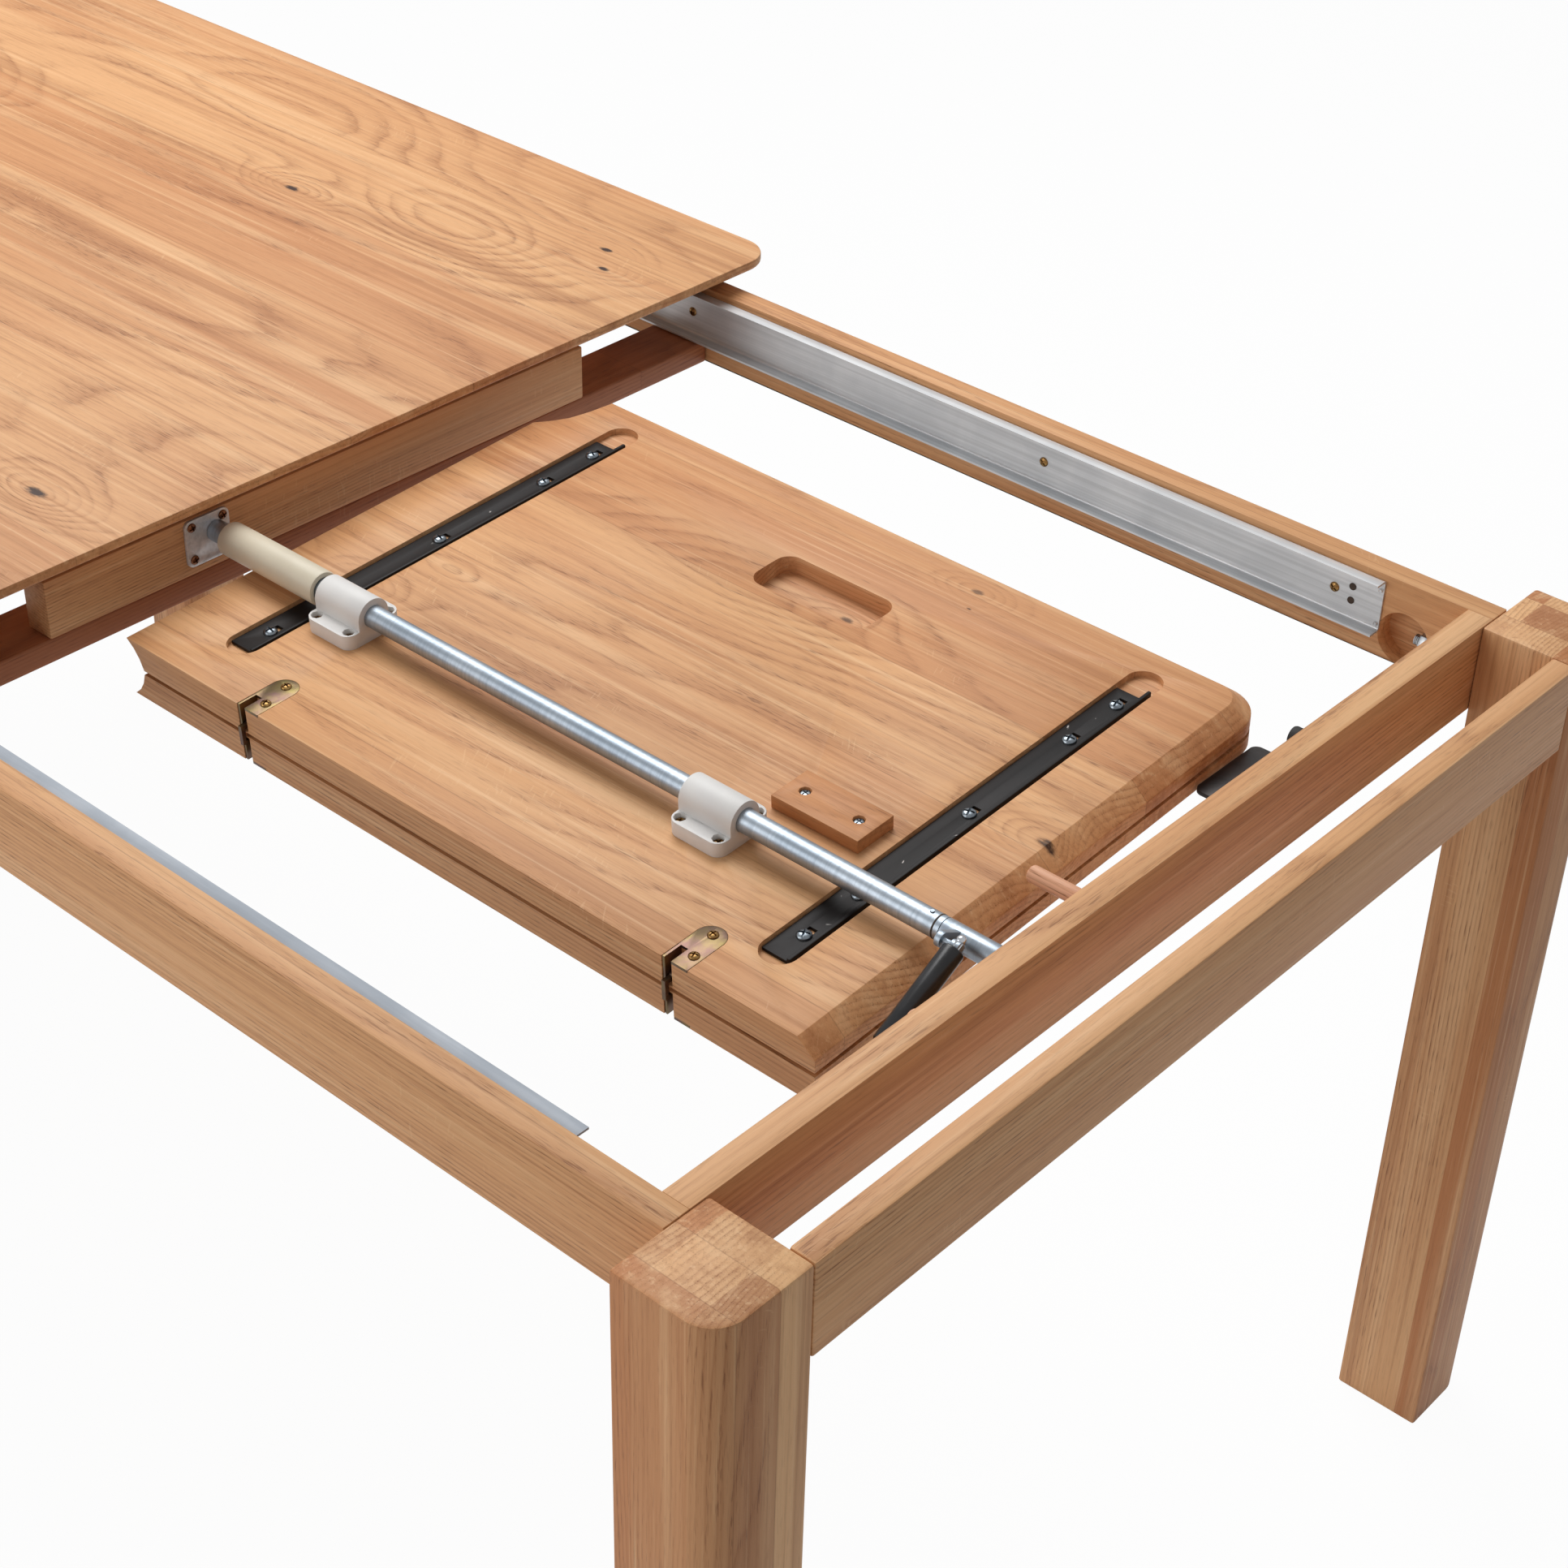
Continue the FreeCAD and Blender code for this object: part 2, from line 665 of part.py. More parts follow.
endPiece = newBody("tube_end", END_X, TUBE_Y, TUBE_Z, "crank_angle")
endTube = circles(endPiece, "body", "YZ_Plane", [("0", "0", "tube_dia")], "0.4 - tube_joint")
pad(endTube, "tube_joint - tube_stop - 0.4")
spots = [("0", "0", "tube_dia - 2 * tube_wall - 0.4")]
plug = fewSided(endPiece, "plug", "YZ_Plane", spots, "0 - tube_joint - 28", 8)
pad(plug, "29")
lug = rect(endPiece, "lug", "YZ_Plane", "0", "0 - 5", "crank", "5", "0 - gas_x - 13")
pad(lug, "4")
pad(circles(endPiece, "lugEnd", "YZ_Plane", [("crank", "0", "10")], "0 - gas_x - 13"), "4")
pad(fewSided(endPiece, "neck", "YZ_Plane", [("crank", "0", "ball_stud * 0.55")], "0 - gas_x - 10", 6), "8")
stud = circles(endPiece, "stud", "YZ_Plane", [("crank", "0", "ball_stud")], "0 - gas_x - ball_stud / 2 + 1")
pad(stud, "ball_stud - 2")
bore = circles(endPiece, "bore", "YZ_Plane", [("0", "0", "spigot_dia + 2 * tube_play")], "0 - tube_stop")
pocket(bore, "18")

pin = newBody("end_pin", END_X, TUBE_Y, TUBE_Z)
pad(circles(pin, "pin", "YZ_Plane", [("0", "0", "spigot_dia")], "0 - %s - 17" % INNER_X), "28")
collar = circles(pin, "collar", "YZ_Plane", [("0", "0", "spigot_dia + 5")], "0 - %s - 1.2" % INNER_X)
pad(collar, "1.2")

rivet = newBody("tube_rivet", END_X, TUBE_Y, TUBE_Z)
pad(circles(rivet, "shank", "XY_Plane", [("0", "0", "2.6")], "tube_dia / 2 - tube_wall"), "tube_wall + 0.8")
rivet.setExpression("Placement.Base.x", ex(END_X + " - tube_joint - 10"))

sleeve = newBody("tube_sleeve", END_X, TUBE_Y, TUBE_Z)
ring = circles(
    sleeve, "ring", "YZ_Plane", [("0", "0", "sleeve_dia"), ("0", "0", "tube_dia + 4 * tube_play")], "0 - sleeve_start"
)
pad(ring, "sleeve_start - sleeve_end")

# ---- leaf: two halves folded back to back, each drawn from its own outside face
BLOCK_HOLES = [(dx, dy) for dx in (-0.364, 0.364) for dy in (-0.365, 0.365)]
BAR_HOLES = [0.069, 0.211, 0.512, 0.806, 0.951]
BAR_LONG = "(bar_end - bar_start)"
STOP_HOLES = [-0.31, 0.31]
HINGE_HOLES = [(4.5, 12), (0, 33)]
NEAR = "(leaf_split / 2 - tube_offset)"
FAR_EDGE = "(frame_width / 2 - tube_offset)"
TIP = "(0 - leaf_end - leaf_length)"


def blockSpots(x, across):
    return [("0 - %s + %g * block_long" % (x, dx), "%g * block_wide" % dy, across) for dx, dy in BLOCK_HOLES]


def leafHalf(label, face, back, up):
    """up is 1 for the half whose outside face looks up while it is stowed, else -1."""
    low = back if up > 0 else face
    body = leafBody(label)
    plan = rect(body, "plan", "XY_Plane", TIP + " - leaf_tip", NEAR, "0 - leaf_end", FAR_EDGE, low)
    slab = pad(plan, "leaf_thick")
    farY = V["frame_width"] / 2 - V["tube_offset"]
    corner = edgesWhere(
        slab, lambda e: runsAlong(e, Z_AXIS) and near(e.Vertexes[0].Y, farY) and near(e.Vertexes[0].X, -V["leaf_end"])
    )
    slab = dress(slab, "Fillet", corner, Radius="top_corner")
    level = faceA if up > 0 else faceB
    rim = edgesWhere(
        slab,
        lambda e: near(e.CenterOfMass.z, level)
        and (near(e.CenterOfMass.x, -V["leaf_end"], 12) or near(e.CenterOfMass.y, farY, 12)),
    )
    slab = dress(slab, "Chamfer", rim, ChamferType=1, Size="bevel_run", Size2="bevel_rise")
    step = "+" if up > 0 else "-"
    wedge = [
        (TIP + " - leaf_tip", face),
        (TIP + " - leaf_tip * 0.55", "%s %s (0 - leaf_thick * 0.27)" % (face, step)),
        (TIP + " - leaf_tip * 0.22", "%s %s (0 - leaf_thick * 0.6)" % (face, step)),
        (TIP, back),
        (TIP, "%s %s (0 - 1)" % (back, step)),
        (TIP + " - leaf_tip - 2", "%s %s (0 - 1)" % (back, step)),
        (TIP + " - leaf_tip - 2", face),
    ]
    pocket(polygon(body, "tip", "XZ_Plane", wedge, "0 - %s - 1" % FAR_EDGE), "frame_width", back=True)
    notch = [
        (TIP + " - leaf_tip - 1", FAR_EDGE + " - relief_long"),
        (TIP + " - leaf_tip * 0.35", FAR_EDGE + " - relief_long * 0.83"),
        (TIP + " + relief_deep * 0.15", FAR_EDGE + " - relief_long * 0.68"),
        (TIP + " + relief_deep * 0.6", FAR_EDGE + " - relief_long * 0.45"),
        (TIP + " + relief_deep * 0.9", FAR_EDGE + " - relief_long * 0.2"),
        (TIP + " + relief_deep", FAR_EDGE + " + 1"),
        (TIP + " - leaf_tip - 1", FAR_EDGE + " + 1"),
    ]
    pocket(polygon(body, "relief", "XY_Plane", notch, low + " - 1"), "leaf_thick + 2", back=True)
    flip = up < 0
    for name, x in (("left", "groove_left"), ("right", "groove_right")):
        x0 = "(0 - %s - groove_wide / 2)" % x
        y0 = "(%s + groove_start + groove_wide / 2)" % NEAR
        y1 = "(%s + groove_end - groove_wide / 2)" % NEAR
        groove = rect(body, "groove_" + name, "XY_Plane", x0, y0, x0 + " + groove_wide", y1, face)
        pocket(groove, "groove_depth", back=flip)
        ends = [("0 - " + x, y0, "groove_wide"), ("0 - " + x, y1, "groove_wide")]
        pocket(circles(body, "ends_" + name, "XY_Plane", ends, face), "groove_depth", back=flip)
    drill = {}
    for x in ("groove_left", "groove_right"):
        drill[x] = [("0 - " + x, NEAR + " + bar_start + %g * %s" % (n, BAR_LONG), HOLE) for n in BAR_HOLES]
    if up > 0:
        for x in ("block_left", "block_right"):
            drill[x] = blockSpots(x, HOLE)
        drill["stop"] = [("0 - stop_x + %g * stop_long" % dx, NEAR + " + stop_u", HOLE) for dx in STOP_HOLES]
        grip = rect(
            body,
            "grip",
            "XY_Plane",
            "0 - grip_x - grip_length / 2",
            NEAR + " + grip_u - grip_wide / 2",
            "0 - grip_x + grip_length / 2",
            NEAR + " + grip_u + grip_wide / 2",
            face,
        )
        cut = pocket(grip, "grip_depth")
        rounds = edgesWhere(
            cut,
            lambda e: runsAlong(e, Z_AXIS)
            and near(e.CenterOfMass.x, -V["grip_x"], V["grip_length"] / 2 + 1)
            and near(e.CenterOfMass.y, foldY + V["grip_u"], V["grip_wide"] / 2 + 1)
            and e.Length > V["grip_depth"] - 1,
        )
        dress(cut, "Fillet", rounds, Radius="grip_round")
    for name, x in (("left", "hinge_left"), ("right", "hinge_right")):
        x0 = "(0 - %s - hinge_wide / 2)" % x
        y1 = "(%s + hinge_long - hinge_wide / 2)" % NEAR
        seat = rect(body, "seat_" + name, "XY_Plane", x0, NEAR + " - 1", x0 + " + hinge_wide", y1, face)
        pocket(seat, "hinge_sheet", back=flip)
        pocket(circles(body, "seatEnd_" + name, "XY_Plane", [("0 - " + x, y1, "hinge_wide")], face), "hinge_sheet", flip)
        slot = rect(
            body,
            "slot_" + name,
            "XY_Plane",
            x0,
            NEAR + " - 1",
            x0 + " + hinge_slot",
            NEAR + " + slot_long",
            face,
        )
        pocket(slot, "leaf_thick - slot_skin", back=flip)
        drill[x] = [("0 - %s + %g" % (x, dx), NEAR + " + %g" % u, HOLE) for dx, u in HINGE_HOLES]
    for name, spots in drill.items():
        pocket(fewSided(body, "pilots_" + name, "XY_Plane", spots, face), "pilot_deep", back=flip)


leafHalf("leaf_half_a", FACE_A, BACK_A, 1)
leafHalf("leaf_half_b", FACE_B, BACK_B, -1)

# ---- angle bars let into the leaf, lip towards the leaf end
for half, face, up in (("a", FACE_A, 1), ("b", FACE_B, -1)):
    for name, x in (("left", "groove_left"), ("right", "groove_right")):
        bar = leafBody("angle_bar_%s_%s" % (half, name))
        x0 = "(0 - %s - groove_wide / 2 + 1)" % x
        x1 = x0 + " + bar_wide"
        floor = face + (" - groove_depth" if up > 0 else " + groove_depth")
        low = floor if up > 0 else floor + " - bar_sheet"
        flat = rect(bar, "flat", "XY_Plane", x0, NEAR + " + bar_start", x1, NEAR + " + bar_end", low)
        pad(flat, "bar_sheet")
        low = floor if up > 0 else floor + " - groove_depth + 0.4"
        lipEnd = NEAR + " + bar_end + bar_lip_over"
        lip = rect(bar, "lip", "XY_Plane", x1 + " - bar_sheet", NEAR + " + bar_start", x1, lipEnd, low)
        pad(lip, "groove_depth - 0.4")
        for n, share in enumerate(BAR_HOLES):
            u0 = NEAR + " + bar_start + %g * %s - 3.5" % (share, BAR_LONG)
            slot = rect(bar, "slot%d" % n, "XY_Plane", "0 - %s - 3" % x, u0, "0 - %s + 3" % x, u0 + " + 12", floor)
            pocket(slot, "bar_sheet + 1", back=up > 0)

# ---- bearing blocks, one each side of the sleeve's run on the tube
for name, x in (("left", "block_left"), ("right", "block_right")):
    block = leafBody("tube_block_" + name)
    x0 = "0 - %s - block_long / 2" % x
    base = rect(
        block, "base", "YZ_Plane", "0 - block_wide / 2", FACE_A, "block_wide / 2", FACE_A + " + block_base", x0
    )
    shape = pad(base, "block_long")
    shape = dress(shape, "Fillet", edgesWhere(shape, lambda e: runsAlong(e, Z_AXIS)), Radius="block_round")
    neck = rect(block, "neck", "YZ_Plane", "0 - block_hump / 2", FACE_A + " + 1", "block_hump / 2", "0", x0)
    pad(neck, "block_long")
    pad(circles(block, "hump", "YZ_Plane", [("0", "0", "block_hump")], x0), "block_long")
    bore = circles(block, "bore", "YZ_Plane", [("0", "0", "tube_dia + 2 * tube_play")], x0 + " - 1")
    pocket(bore, "block_long + 2", back=True)
    cups = fewSided(block, "cups", "XY_Plane", blockSpots(x, "block_cup"), "0", 8)
    pocket(cups, "0 - (%s + block_base - cup_deep)" % FACE_A)
    pocket(fewSided(block, "holes", "XY_Plane", blockSpots(x, HOLE), "0"), "0 - %s + 1" % FACE_A)

stop = leafBody("stop_block")
y0 = NEAR + " + stop_u - stop_wide / 2"
x0 = "0 - stop_x - stop_long / 2"
plan = rect(stop, "plan", "XY_Plane", x0, y0, x0 + " + stop_long", y0 + " + stop_wide", FACE_A)
pad(plan, "stop_high")
spots = [("0 - stop_x + %g * stop_long" % dx, NEAR + " + stop_u", HOLE) for dx in STOP_HOLES]
pocket(fewSided(stop, "holes", "XY_Plane", spots, FACE_A + " + stop_high"), "stop_high + 1")
spots = [("0 - stop_x + %g * stop_long" % dx, NEAR + " + stop_u", "stop_cup") for dx in STOP_HOLES]
pocket(fewSided(stop, "cups", "XY_Plane", spots, FACE_A + " + stop_high", 8), "3")

# ---- hinge plates with an ear each, and the links that reach round the fold
PIN_Y = "(%s + %s)" % (NEAR, PIN_IN)
for half, face, up in (("a", FACE_A, 1), ("b", FACE_B, -1)):
    back = BACK_A if up > 0 else BACK_B
    pinZ = "(%s %s pin_depth)" % (back, "+" if up > 0 else "-")
    for name, x in (("left", "hinge_left"), ("right", "hinge_right")):
        plate = leafBody("hinge_plate_%s_%s" % (half, name))
        x0 = "(0 - %s - hinge_wide / 2 + 0.2)" % x
        x1 = "(0 - %s + hinge_wide / 2 - 0.2)" % x
        xs = "(0 - %s - hinge_wide / 2 + hinge_slot)" % x
        low = face + " - hinge_sheet" if up > 0 else face
        y1 = "(%s + hinge_long - hinge_wide / 2)" % NEAR
        ys = NEAR + " + slot_long - 0.5"
        outline = [(x0, ys), (xs, ys), (xs, NEAR), (x1, NEAR), (x1, y1), (x0, y1)]
        pad(polygon(plate, "plan", "XY_Plane", outline, low), "hinge_sheet")
        pad(circles(plate, "round", "XY_Plane", [("0 - " + x, y1, "hinge_wide - 0.4")], low), "hinge_sheet")
        tipZ = "(%s %s pin_dia)" % (pinZ, "-" if up > 0 else "+")
        ear = rect(plate, "ear", "YZ_Plane", NEAR + " + 0.5", tipZ, ys + " + 0.2", face, x0 + " + 0.3")
        pad(ear, "ear_sheet")
        pocket(
            circles(plate, "pinHole", "YZ_Plane", [(PIN_Y, pinZ, "pin_dia + 2 * tube_play")], x0),
            "ear_sheet + 1",
            True,
        )
        spots = [("0 - %s + %g" % (x, dx), NEAR + " + %g" % u, HOLE) for dx, u in HINGE_HOLES]
        pocket(fewSided(plate, "holes", "XY_Plane", spots, face), "hinge_sheet + 1", back=up < 0)

OUT_Y = "(%s - link_bulge)" % PIN_Y
PIN_A = "(%s + pin_depth)" % BACK_A
PIN_B = "(%s - pin_depth)" % BACK_B
for name, x in (("left", "hinge_left"), ("right", "hinge_right")):
    link = leafBody("hinge_link_" + name)
    x0 = "(0 - %s - hinge_wide / 2 + 0.5 + ear_sheet + 0.3)" % x
    outline = [
        (PIN_Y, PIN_A + " + link_band / 2"),
        (OUT_Y, PIN_A + " + link_band / 2"),
        (OUT_Y, PIN_B + " - link_band / 2"),
        (PIN_Y, PIN_B + " - link_band / 2"),
        (PIN_Y, PIN_B + " + link_band / 2"),
        (OUT_Y + " + link_band", PIN_B + " + link_band / 2"),
        (OUT_Y + " + link_band", PIN_A + " - link_band / 2"),
        (PIN_Y, PIN_A + " - link_band / 2"),
    ]
    pad(polygon(link, "arm", "YZ_Plane", outline, x0), "link_sheet")
    eyes = [(PIN_Y, PIN_A, "link_band + 3"), (PIN_Y, PIN_B, "link_band + 3")]
    pad(circles(link, "eyes", "YZ_Plane", eyes, x0), "link_sheet")
    pins = [(PIN_Y, PIN_A, "pin_dia"), (PIN_Y, PIN_B, "pin_dia")]
    pad(circles(link, "pins", "YZ_Plane", pins, x0 + " - ear_sheet - 0.5"), "ear_sheet + 1")

# ---- gas spring: cylinder on the crank's ball, rod towards the near side, ball bracket on the crossbar
CRANK_Y = "(%s + crank * cos(crank_angle * 1 deg))" % TUBE_Y
CRANK_Z = "(%s + crank * sin(crank_angle * 1 deg))" % TUBE_Z
body = newBody("gas_cylinder", END_X, CRANK_Y, CRANK_Z, "180 + gas_slope")
eyeX = "0 - gas_x - gas_eye_thick / 2"
pad(circles(body, "eye", "YZ_Plane", [("0", "0", "gas_eye")], eyeX), "gas_eye_thick")
pad(circles(body, "can", "XZ_Plane", [("0 - gas_x", "0", "gas_dia")], "0 - 5.5"), "gas_body", back=True)
socket = circles(body, "socket", "YZ_Plane", [("0", "0", "ball_stud + 2 * tube_play")], eyeX)
pocket(socket, "gas_eye_thick - 1.2", back=True)
rodBore = circles(body, "bore", "XZ_Plane", [("0 - gas_x", "0", "gas_rod_dia + 2 * tube_play")], "0 - gas_body - 5.5")
pocket(rodBore, "gas_body - 8", back=True)

rod = newBody("gas_rod", END_X, CRANK_Y, CRANK_Z, "180 + gas_slope")
rodStart = "0 - gas_body - 5.5 + gas_rod_in"
rodLength = "gas_length - gas_eye / 2 + 1 - gas_body - 5.5 + gas_rod_in"
pad(circles(rod, "shaft", "XZ_Plane", [("0 - gas_x", "0", "gas_rod_dia")], rodStart), rodLength, back=True)
pad(circles(rod, "eye", "YZ_Plane", [("gas_length", "0", "gas_eye")], eyeX), "gas_eye_thick")
spots = [("gas_length", "0", "ball_stud + 2 * tube_play")]
socket = circles(rod, "socket", "YZ_Plane", spots, eyeX + " + gas_eye_thick")
pocket(socket, "gas_eye_thick - 1.2")

FOOT_Y = "(%s + crank * cos(crank_angle * 1 deg) - gas_length * cos(gas_slope * 1 deg))" % TUBE_Y
FOOT_Z = "(%s + crank * sin(crank_angle * 1 deg) - gas_length * sin(gas_slope * 1 deg))" % TUBE_Z
bracket = newBody("gas_bracket", END_X, FOOT_Y, FOOT_Z)
PLATE_X = "(0 - %s)" % INNER_X
edge = "0 - bracket_wide / 2"
outside = PLATE_X + " - bracket_sheet"
plan = rect(bracket, "plate", "YZ_Plane", edge, "0 - bracket_low", "bracket_wide / 2", "bracket_high", outside)
plate = pad(plan, "bracket_sheet")
dress(plate, "Chamfer", edgesWhere(plate, lambda e: runsAlong(e, X_AXIS)), Size="bracket_round")
FOOT_BALL_X = "(0 - gas_x + gas_eye_thick / 2 + ball_stud / 2 + 0.5)"
stud = fewSided(bracket, "neck", "YZ_Plane", [("0", "0", "ball_stud * 0.55")], FOOT_BALL_X, 6)
pad(stud, "gas_x - gas_eye_thick / 2 - ball_stud / 2 - 0.5 - %s - 1" % INNER_X)
head = circles(bracket, "head", "YZ_Plane", [("0", "0", "ball_stud")], FOOT_BALL_X + " - ball_stud / 2 + 1")
pad(head, "ball_stud - 2")
BRACKET_HOLES = [0.47, 0.82]
holes = [("0", "%g * bracket_high" % n, HOLE) for n in BRACKET_HOLES]
pocket(fewSided(bracket, "holes", "YZ_Plane", holes, PLATE_X + " + 1"), "bracket_sheet + 2")

# ---- end fittings on the right crossbar: rest plate, stop dowels, rubber buffer
LEAF_FAR = "(frame_width / 2 - 2 * tube_offset)"
rest = newBody("rest_plate", END_X, LEAF_FAR + " - rest_in", "leg_height")
outline = [
    ("0 - %s" % INNER_X, "0 - rest_drop"),
    ("0 - leaf_end + rest_clear", "0 - rest_drop"),
    ("0 - leaf_end + rest_clear", "0 - rest_drop - rest_sheet"),
    ("0 - %s - rest_sheet" % INNER_X, "0 - rest_drop - rest_sheet"),
    ("0 - %s - rest_sheet" % INNER_X, "0 - cross_height"),
    ("0 - %s" % INNER_X, "0 - cross_height"),
]
bent = pad(polygon(rest, "section", "XZ_Plane", outline, "0 - rest_wide / 2"), "rest_wide")
tips = edgesWhere(bent, lambda e: runsAlong(e, Z_AXIS) and near(e.Vertexes[0].X, V["rest_clear"] - V["leaf_end"]))
dress(bent, "Fillet", tips, Radius="rest_sheet * 2")
REST_HOLES = [-0.314, 0.314]
holes = [("%g * rest_wide" % n, "0 - rest_drop - rest_lip / 2", HOLE) for n in REST_HOLES]
pocket(fewSided(rest, "holes", "YZ_Plane", holes, PLATE_X + " + 1"), "rest_sheet + 2")

for name, sign in (("far", "+"), ("near", "-")):
    dowel = newBody("stop_dowel_" + name, END_X, "%s %s dowel_spread" % (TUBE_Y, sign), "leg_height - dowel_drop")
    stick = circles(dowel, "stick", "YZ_Plane", [("0", "0", "dowel_dia")], "0 - %s - dowel_out" % INNER_X)
    pad(stick, "dowel_out + dowel_in - 0.5")

buffer = newBody("rubber_buffer", END_X, LEAF_FAR + " - buffer_in", "leg_height - buffer_drop")
rubber = circles(buffer, "pad", "YZ_Plane", [("0", "0", "buffer_dia")], "0 - %s - buffer_out" % INNER_X)
pad(rubber, "buffer_out")

bar = doc.crossbar_right
holes = [(LEAF_FAR + " - rest_in + %g * rest_wide" % n, "0 - rest_drop - rest_lip / 2", HOLE) for n in REST_HOLES]
holes += [(FOOT_Y, FOOT_Z + " - leg_height + %g * bracket_high" % n, HOLE) for n in BRACKET_HOLES]
pocket(fewSided(bar, "pilots", "YZ_Plane", holes, PLATE_X), "12", back=True)

# ---- tabletop: one board, drawn open by its full travel
top = newBody("tabletop", END_X + " - top_travel", "0", "leg_height + top_gap")
slab = pad(
    rect(top, "plan", "XY_Plane", "0 - frame_length", "0 - frame_width / 2", "0", "frame_width / 2"), "top_thick"
)
slab = dress(slab, "Fillet", edgesWhere(slab, lambda e: runsAlong(e, Z_AXIS)), Radius="top_corner")
rim = edgesWhere(slab, lambda e: near(e.CenterOfMass.z, 0))
dress(slab, "Chamfer", rim, ChamferType=1, Size="rim_rise", Size2="rim_run")
BATTEN_HOLES = [0.1, 0.5, 0.9]
battenY = "(%s - rail_depth - 0.5 - batten_wide / 2)" % APRON_Y
holes = []
for sign in ("", "0 - "):
    holes += [("0 - batten_start - %g * %s" % (share, BATTEN_LONG), sign + battenY, HOLE) for share in BATTEN_HOLES]
pocket(fewSided(top, "pilots", "XY_Plane", holes), "12", back=True)
for sideName, sign in (("near", "0 - "), ("far", "")):
    batten = doc.getObject("runner_batten_" + sideName)
    holes = [("0 - batten_start - %g * %s" % (share, BATTEN_LONG), sign + battenY, HOLE) for share in BATTEN_HOLES]
    pocket(fewSided(batten, "holes", "XY_Plane", holes, "top_gap + 1"), "batten_high + 2")


# ---- screws and bolts: one solid at each place, one node for each kind
def prism(sides, across, low, high):
    ring = [across / 2 * math.cos(2 * math.pi * n / sides) for n in range(sides + 1)]
    rise = [across / 2 * math.sin(2 * math.pi * n / sides) for n in range(sides + 1)]
    outline = Part.makePolygon([Vector(x, y, low) for x, y in zip(ring, rise)])
    return Part.Face(outline).extrude(Vector(0, 0, high - low))


def screw(head, high, long):
    """Wood screw along Z by its sizes' names, its head's underside at the origin; drawn with few faces."""
    return prism(6, V[head], 0, V[high]).fuse(prism(4, V["screw_dia"], -V[long], 0)).removeSplitter()


def at(x, y, z, rotation=Rotation()):
    return Placement(Vector(x, y, z), rotation)


DOWN = Rotation(X_AXIS, 180)
TO_RIGHT = Rotation(Y_AXIS, Z_AXIS, X_AXIS, "ZXY")
TO_LEFT = Rotation(Y_AXIS, Vector(0, 0, -1), Vector(-1, 0, 0), "ZXY")
barFloor = V["groove_depth"] - V["bar_sheet"]
grooves = (-V["groove_left"], -V["groove_right"])
barSpots = [foldY + V["bar_start"] + n * (V["bar_end"] - V["bar_start"]) for n in BAR_HOLES]
places = [leafPlace * at(x, y, faceA - barFloor) for x in grooves for y in barSpots]
several("bar_screws_a", screw("bar_head", "head_high", "bar_screw"), places)
places = [leafPlace * at(x, y, faceB + barFloor, DOWN) for x in grooves for y in barSpots]
several("bar_screws_b", screw("bar_head", "head_high", "bar_screw"), places)
blocks = (-V["block_left"], -V["block_right"])
seat = faceA + V["block_base"] - V["cup_deep"]
spots = [(dx * V["block_long"], dy * V["block_wide"]) for dx, dy in BLOCK_HOLES]
places = [leafPlace * at(x + dx, dy, seat) for x in blocks for dx, dy in spots]
several("block_screws", screw("block_head", "head_high", "block_screw"), places)
seat = faceA + V["stop_high"] - 3
spots = [dx * V["stop_long"] - V["stop_x"] for dx in STOP_HOLES]
places = [leafPlace * at(x, foldY + V["stop_u"], seat) for x in spots]
several("stop_screws", screw("block_head", "head_high", "block_screw"), places)
hinges = (-V["hinge_left"], -V["hinge_right"])
places = [leafPlace * at(x + dx, foldY + u, faceA) for x in hinges for dx, u in HINGE_HOLES]
several("hinge_screws_a", screw("hinge_head", "flat_head_high", "hinge_screw"), places)
places = [leafPlace * at(x + dx, foldY + u, faceB, DOWN) for x in hinges for dx, u in HINGE_HOLES]
several("hinge_screws_b", screw("hinge_head", "flat_head_high", "hinge_screw"), places)
faceX = endX - V["middle_x"] + V["pivot_proud"] + V["flange_thick"]
places = [at(faceX, tubeY + y, tubeZ + z, TO_RIGHT) for y, z in FLANGE_SCREWS]
several("flange_screws", screw("fitting_head", "flat_head_high", "fitting_screw"), places)
apronY = V["frame_width"] / 2 - V["apron_inset"] - V["apron_thick"]
level = V["leg_height"] - V["rail_drop"] - V["rail_height"] / 2 + V["hole_rise"]
railLong = V["frame_length"] - 2 * V["rail_start"]
places = []
for side, turn in ((-1, Rotation(X_AXIS, -90)), (1, Rotation(X_AXIS, 90))):
    webY = side * (apronY - V["rail_sheet"])
    places += [at(endX - V["rail_start"] - share * railLong, webY, level, turn) for share in RAIL_SCREWS]
several("rail_screws", screw("rail_head", "flat_head_high", "rail_screw"), places)
battenLine = apronY - V["rail_depth"] - 0.5 - V["batten_wide"] / 2
underside = V["leg_height"] + V["top_gap"] - V["batten_high"]
topX = endX - V["top_travel"] - V["batten_start"]
battenLong = topX + V["frame_length"] - endX - V["leg_side"] - V["cross_thick"] - V["batten_clear"]
places = [at(topX - n * battenLong, side * battenLine, underside, DOWN) for side in (-1, 1) for n in BATTEN_HOLES]
several("batten_screws", screw("rail_head", "flat_head_high", "batten_screw"), places)
restX = innerX - V["rest_sheet"]
restY = V["frame_width"] / 2 - 2 * V["tube_offset"] - V["rest_in"]
restZ = V["leg_height"] - V["rest_drop"] - V["rest_lip"] / 2
places = [at(restX, restY + n * V["rest_wide"], restZ, TO_LEFT) for n in REST_HOLES]
footY = tubeY + V["crank"] * math.cos(math.radians(V["crank_angle"])) - V["gas_length"] * math.cos(
    math.radians(V["gas_slope"])
)
footZ = tubeZ + V["crank"] * math.sin(math.radians(V["crank_angle"])) - V["gas_length"] * math.sin(
    math.radians(V["gas_slope"])
)
places += [at(innerX - V["bracket_sheet"], footY, footZ + n * V["bracket_high"], TO_LEFT) for n in BRACKET_HOLES]
